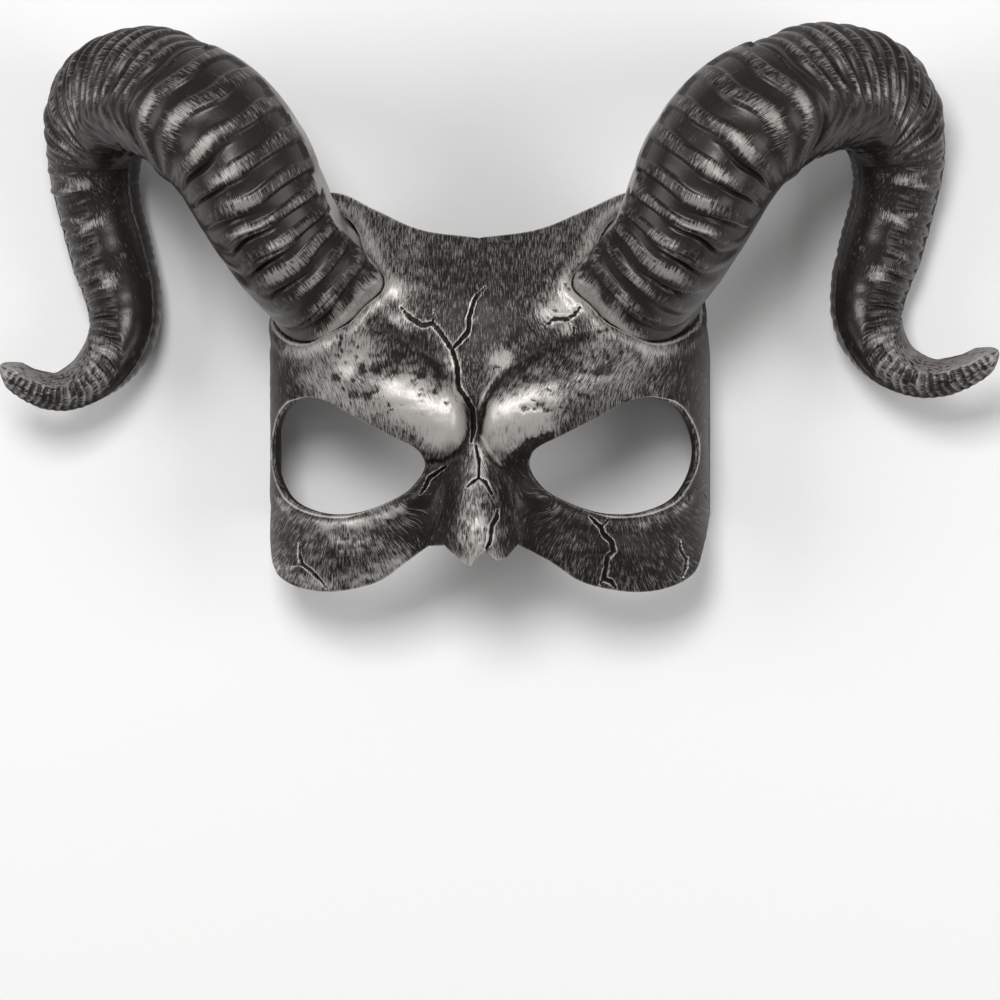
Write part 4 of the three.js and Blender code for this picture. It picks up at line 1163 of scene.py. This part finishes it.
def dry_brush_group():
    """Silver dragged over dark plastic with a nearly dry brush. The strokes are a sum of noises, two of
    them stretched along the brush's way. Silver covers a place where the sum is over one less the
    density, and is paler where the density is high."""
    group, given, result = new_group(
        "Dry brush",
        [
            ("Flow", "Vector", None), ("Place", "Vector", None),
            ("Density", "Float", 0.5), ("Softness", "Float", 0.3),
        ],
        ["Cover", "Height", "Tone"],
    )
    strokes = math_node(group, "MULTIPLY", stroke_noise(group, given["Flow"], *THIN_STROKES), 0.5)
    others = (
        (stroke_noise(group, given["Flow"], *WIDE_STROKES), 0.24),
        (noise_node(group, given["Place"], SPECK_SCALE, 2.0, 0.6), 0.12),
        (noise_node(group, given["Place"], PATCH_SCALE, 3.0, 0.6), 0.14),
    )
    for noise, share in others:
        strokes = math_node(group, "MULTIPLY_ADD", noise, share, strokes)
    strokes = step_node(group, strokes, 0.3, 0.7)
    bare = math_node(group, "SUBTRACT", 1.0, given["Density"])
    low, high = (math_node(group, way, bare, given["Softness"]) for way in ("SUBTRACT", "ADD"))
    cover = step_node(group, strokes, low, high)
    feed(result["Tone"], step_node(group, given["Density"], 0.0, 1.0, 0.5, 1.0))
    feed(result["Cover"], cover)
    feed(result["Height"], math_node(group, "MULTIPLY", strokes, cover))


def cast_plastic_group():
    """The faint orange peel and pin marks of a moulded plastic surface, as a height, and a slow change
    of gloss, all of them noises."""
    group, given, result = new_group("Cast plastic", [("Place", "Vector", None)], ["Height", "Gloss"])
    peel = noise_node(group, given["Place"], PEEL_SCALE, 3.0, 0.55)
    grain = noise_node(group, given["Place"], GRAIN_SCALE, 2.0, 0.5)
    feed(result["Height"], math_node(group, "MULTIPLY_ADD", grain, 0.3, peel))
    feed(result["Gloss"], noise_node(group, given["Place"], GLOSS_SCALE, 3.0, 0.6))


def crisp_lines_group():
    """Masks from three distances: bright lines along the cracks' edges, the horns' collars and the eyes'
    lips, and where the cracks and the gap round a horn stay clear of silver."""
    group, given, result = new_group(
        "Crisp lines", [(name, "Float", FAR_OFF) for name in DISTANCES], ["Bright", "Clear"]
    )

    def line(name, low, middle, high, most):
        rising = step_node(group, given[name], low, middle, 0.0, most)
        return math_node(group, "MULTIPLY", rising, step_node(group, given[name], middle, high, 1.0, 0.0))

    collar, lip, crack = (line(*row) for row in BRIGHT_LINES)
    bright = math_node(group, "MAXIMUM", collar, lip)
    feed(result["Bright"], math_node(group, "MAXIMUM", bright, crack))
    clear = step_node(group, given["Crack"], 0.6, 0.95)
    clear = math_node(group, "MULTIPLY", clear, step_node(group, given["Collar"], 0.2, 0.7))
    feed(result["Clear"], clear)


def brushed_plastic(name, plastic, silver, tones):
    """Dark moulded plastic under dry-brushed silver, mixed by the share that the brush covers. `tones` is
    a row of FINISHES."""
    _, tree, shader, place = new_material(name)
    flow = add_node(tree, "UVMap", {}, uv_map="brush").outputs["UV"]
    density = attribute_node(tree, "silver")
    if tones["lines"]:
        distances = {label: attribute_node(tree, label.lower()) for label in DISTANCES}
        lines = group_node(tree, "Crisp lines", distances)
        density = math_node(tree, "ADD", density, lines["Bright"])
    strokes = {"Flow": flow, "Place": place, "Density": density, "Softness": tones["softness"]}
    brush = group_node(tree, "Dry brush", strokes)
    cast = group_node(tree, "Cast plastic", {"Place": place})
    cover = brush["Cover"]
    if tones["lines"]:
        cover = math_node(tree, "MULTIPLY", cover, lines["Clear"])
    darkest, palest = (shade(plastic, gain) for gain in PLASTIC_SHADES)
    dark = colour_mix(tree, cast["Gloss"], darkest, palest)
    pale = colour_mix(tree, brush["Tone"], shade(silver, THIN_SILVER), shade(silver, 1))
    dark_rough, silver_rough = tones["dark_roughness"], tones["silver_roughness"]
    rough = math_node(tree, "MULTIPLY_ADD", cast["Gloss"], GLOSS_SPAN, dark_rough - GLOSS_SPAN / 2)
    normal = bump_node(tree, brush["Height"], tones["stroke_height"])
    feed(shader["Base Color"], colour_mix(tree, cover, dark, pale))
    feed(shader["Metallic"], math_node(tree, "MULTIPLY", cover, tones["metal"]))
    feed(shader["Roughness"], math_node(tree, "MULTIPLY_ADD", cover, silver_rough - dark_rough, rough))
    feed(shader["Specular IOR Level"], tones["specular"])
    feed(shader["Normal"], bump_node(tree, cast["Height"], PEEL_HEIGHT, Normal=normal))


def stage_paper(name, colour):
    """Plain matt paper with a faint unevenness."""
    material, tree, shader, place = new_material(name)
    fleck = noise_node(tree, place, FLECK_SCALE, 3.0, 0.5)
    feed(shader["Base Color"], colour_mix(tree, fleck, shade(colour, PAPER_SHADE), shade(colour, 1)))
    feed(shader["Roughness"], PAPER_ROUGHNESS)
    return material


class HalfMaskShellSettings(bpy.types.PropertyGroup):
    """Sizes and colours of the shell."""

    wall: FloatProperty(
        name="Wall", description="Thickness of the moulded wall",
        default=0.0018, min=0.001, max=0.004, subtype="DISTANCE", unit="LENGTH",
    )
    crack_depth: FloatProperty(
        name="Crack depth", description="Depth of the cracks under the outer face",
        default=0.0013, min=0, max=0.0016, subtype="DISTANCE", unit="LENGTH",
    )
    plastic: FloatVectorProperty(
        name="Plastic", description="Colour of the bare plastic",
        default=(0.0125, 0.0098, 0.0082), min=0, max=1, subtype="COLOR",
    )
    silver: FloatVectorProperty(
        name="Silver", description="Colour of the brushed silver",
        default=(0.51, 0.485, 0.462), min=0, max=1, subtype="COLOR",
    )


class RamHornSettings(bpy.types.PropertyGroup):
    """Sizes and colours of the two horns."""

    ridge_height: FloatProperty(
        name="Ridge height", description="Height of the rings over the panels between them",
        default=0.00115, min=0, max=0.003, subtype="DISTANCE", unit="LENGTH",
    )
    seam_height: FloatProperty(
        name="Seam height", description="Height of the lip along each parting line",
        default=0.00035, min=0, max=0.001, subtype="DISTANCE", unit="LENGTH",
    )
    plastic: FloatVectorProperty(
        name="Plastic", description="Colour of the bare plastic",
        default=(0.0165, 0.013, 0.0108), min=0, max=1, subtype="COLOR",
    )
    silver: FloatVectorProperty(
        name="Silver", description="Colour of the brushed silver",
        default=(0.32, 0.302, 0.287), min=0, max=1, subtype="COLOR",
    )


class StageSettings(bpy.types.PropertyGroup):
    """Floor, lights and camera."""

    camera_turn: FloatProperty(
        name="Camera turn", description="Angle of the camera round the face's long axis",
        default=np.radians(4.5), subtype="ANGLE", unit="ROTATION",
    )
    camera_distance: FloatProperty(
        name="Camera distance", description="From the camera to the point that it is aimed at",
        default=2.2, min=0.5, max=10, subtype="DISTANCE", unit="LENGTH",
    )
    picture_width: FloatProperty(
        name="Picture width", description="Width of the view at the aimed point",
        default=0.33333, min=0.05, max=5, subtype="DISTANCE", unit="LENGTH",
    )
    floor_colour: FloatVectorProperty(
        name="Floor", description="Colour of the paper floor",
        default=(0.84, 0.84, 0.84), min=0, max=1, subtype="COLOR",
    )
    key_power: FloatProperty(
        name="Key light", description="Power of the key light in watts", default=25, min=0
    )


class HALFMASK_OT_finishes(bpy.types.Operator):
    """Make the node groups and materials that the pieces wear"""

    bl_idname = "halfmask.finishes"
    bl_label = "Make Finishes"

    def execute(self, context):
        dry_brush_group()
        cast_plastic_group()
        crisp_lines_group()
        shell, horns = context.scene.half_mask_shell, context.scene.half_mask_horns
        for name, settings in (("Brushed shell", shell), ("Brushed horn", horns)):
            brushed_plastic(name, settings.plastic, settings.silver, FINISHES[name])
        return {"FINISHED"}


class HALFMASK_OT_shell(bpy.types.Operator):
    """Build the cracked shell of brow, eyes and nose as one closed mesh"""

    bl_idname = "halfmask.shell"
    bl_label = "Build Shell"

    def execute(self, context):
        settings = context.scene.half_mask_shell
        shell = build_shell(settings.wall / MM, settings.crack_depth / MM)
        cut_strap_slots(shell)
        shell.data.materials.append(bpy.data.materials["Brushed shell"])
        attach(shell, "root")
        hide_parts("mask_shell")
        return {"FINISHED"}


class HALFMASK_OT_horns(bpy.types.Operator):
    """Build both ram's horns, each one closed mesh from its foot on the shell to its tip"""

    bl_idname = "halfmask.horns"
    bl_label = "Build Horns"

    def execute(self, context):
        settings = context.scene.half_mask_horns
        heights = settings.ridge_height / MM, settings.seam_height / MM
        crack_depth = context.scene.half_mask_shell.crack_depth / MM
        for name, side, node in (("ram_horn_left", -1, "horn_left"), ("ram_horn_right", 1, "horn_right")):
            horn = build_horn(name, side, *heights, crack_depth)
            horn.data.materials.append(bpy.data.materials["Brushed horn"])
            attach(horn, "root")
            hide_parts(node)
        return {"FINISHED"}


class HALFMASK_OT_stage(bpy.types.Operator):
    """Lay a pale floor, set soft lights and look down on the mask as the photograph does"""

    bl_idname = "halfmask.stage"
    bl_label = "Set Stage"

    def execute(self, context):
        settings = context.scene.half_mask_stage
        corners = FLOOR_REACH * np.array([(-1, -1, 0), (1, -1, 0), (1, 1, 0), (-1, 1, 0)])
        floor = make_mesh("paper_floor", corners, [np.array([[0, 1, 2, 3]])], {})
        floor.data.materials.append(stage_paper("Pale paper", settings.floor_colour))
        set_camera(context, settings)
        for name, place, target, width, share in LIGHTS:
            add_light(name, place, target, width, settings.key_power * share)
        world = bpy.data.worlds.new("Studio")
        world.use_nodes = True
        background = world.node_tree.nodes["Background"].inputs
        background["Color"].default_value = WORLD_COLOUR
        background["Strength"].default_value = WORLD_STRENGTH
        context.scene.world = world
        context.scene.view_settings.view_transform = "Standard"
        return {"FINISHED"}


def set_camera(context, settings):
    """The camera looks along the mask's own front, turned a little to the viewer's right. It is aimed at
    a point of the plane AIM_HEIGHT over the rims, and its lens gives the picture's width there: sensor
    times distance over width."""
    turn = settings.camera_turn
    right = Vector((np.cos(turn), 0, -np.sin(turn)))
    back = Vector((np.sin(turn), 0, np.cos(turn)))
    up = Vector((0, 1, 0))
    shaped = AIM_RIGHT * right - AIM_DOWN * up + Vector((0, 0, AIM_HEIGHT))
    aim = Vector(in_row_frame(np.array([tuple(shaped)]))[0])
    camera = bpy.data.cameras.new("photo_camera")
    camera.sensor_width = SENSOR_WIDTH
    camera.lens = SENSOR_WIDTH * settings.camera_distance / settings.picture_width
    camera.clip_end = FAR_CLIP
    holder = add_object("photo_camera", camera)
    place = [aim[k] + settings.camera_distance * back[k] for k in range(3)]
    holder.matrix_world = Matrix((*zip(right, up, back, place), (0, 0, 0, 1)))
    context.scene.camera = holder


def add_light(name, place, target, width, power):
    """A square area light that faces a target."""
    light = bpy.data.lights.new(name, "AREA")
    light.size = width
    light.energy = power
    holder = add_object(name, light)
    holder.location = place
    holder.rotation_euler = (Vector(target) - Vector(place)).to_track_quat("-Z", "Y").to_euler()


class HALFMASK_PT_sidebar(bpy.types.Panel):
    """The half mask's settings and its steps"""

    bl_idname = "HALFMASK_PT_sidebar"
    bl_label = "Half Mask"
    bl_space_type = "VIEW_3D"
    bl_region_type = "UI"
    bl_category = "Half Mask"

    def draw(self, context):
        scene = context.scene
        shown = (
            (scene.half_mask_shell, ("wall", "crack_depth", "plastic", "silver")),
            (scene.half_mask_horns, ("ridge_height", "seam_height", "plastic", "silver")),
            (
                scene.half_mask_stage,
                ("camera_turn", "camera_distance", "picture_width", "floor_colour", "key_power"),
            ),
        )
        for group, names in shown:
            box = self.layout.box()
            for name in names:
                box.prop(group, name)
        for step in ("finishes", "shell", "horns", "stage"):
            self.layout.operator("halfmask." + step)


CLASSES = (
    HalfMaskShellSettings,
    RamHornSettings,
    StageSettings,
    HALFMASK_OT_finishes,
    HALFMASK_OT_shell,
    HALFMASK_OT_horns,
    HALFMASK_OT_stage,
    HALFMASK_PT_sidebar,
)


def register():
    """Adds the settings and the steps."""
    for each in CLASSES:
        bpy.utils.register_class(each)
    bpy.types.Scene.half_mask_shell = PointerProperty(type=HalfMaskShellSettings)
    bpy.types.Scene.half_mask_horns = PointerProperty(type=RamHornSettings)
    bpy.types.Scene.half_mask_stage = PointerProperty(type=StageSettings)


def unregister():
    """Takes the settings and the steps out again."""
    for name in ("half_mask_shell", "half_mask_horns", "half_mask_stage"):
        delattr(bpy.types.Scene, name)
    for each in reversed(CLASSES):
        bpy.utils.unregister_class(each)


def main():
    register()
    bpy.ops.halfmask.finishes()
    bpy.ops.halfmask.shell()
    bpy.ops.halfmask.horns()
    bpy.ops.halfmask.stage()


if __name__ == "__main__":
    main()
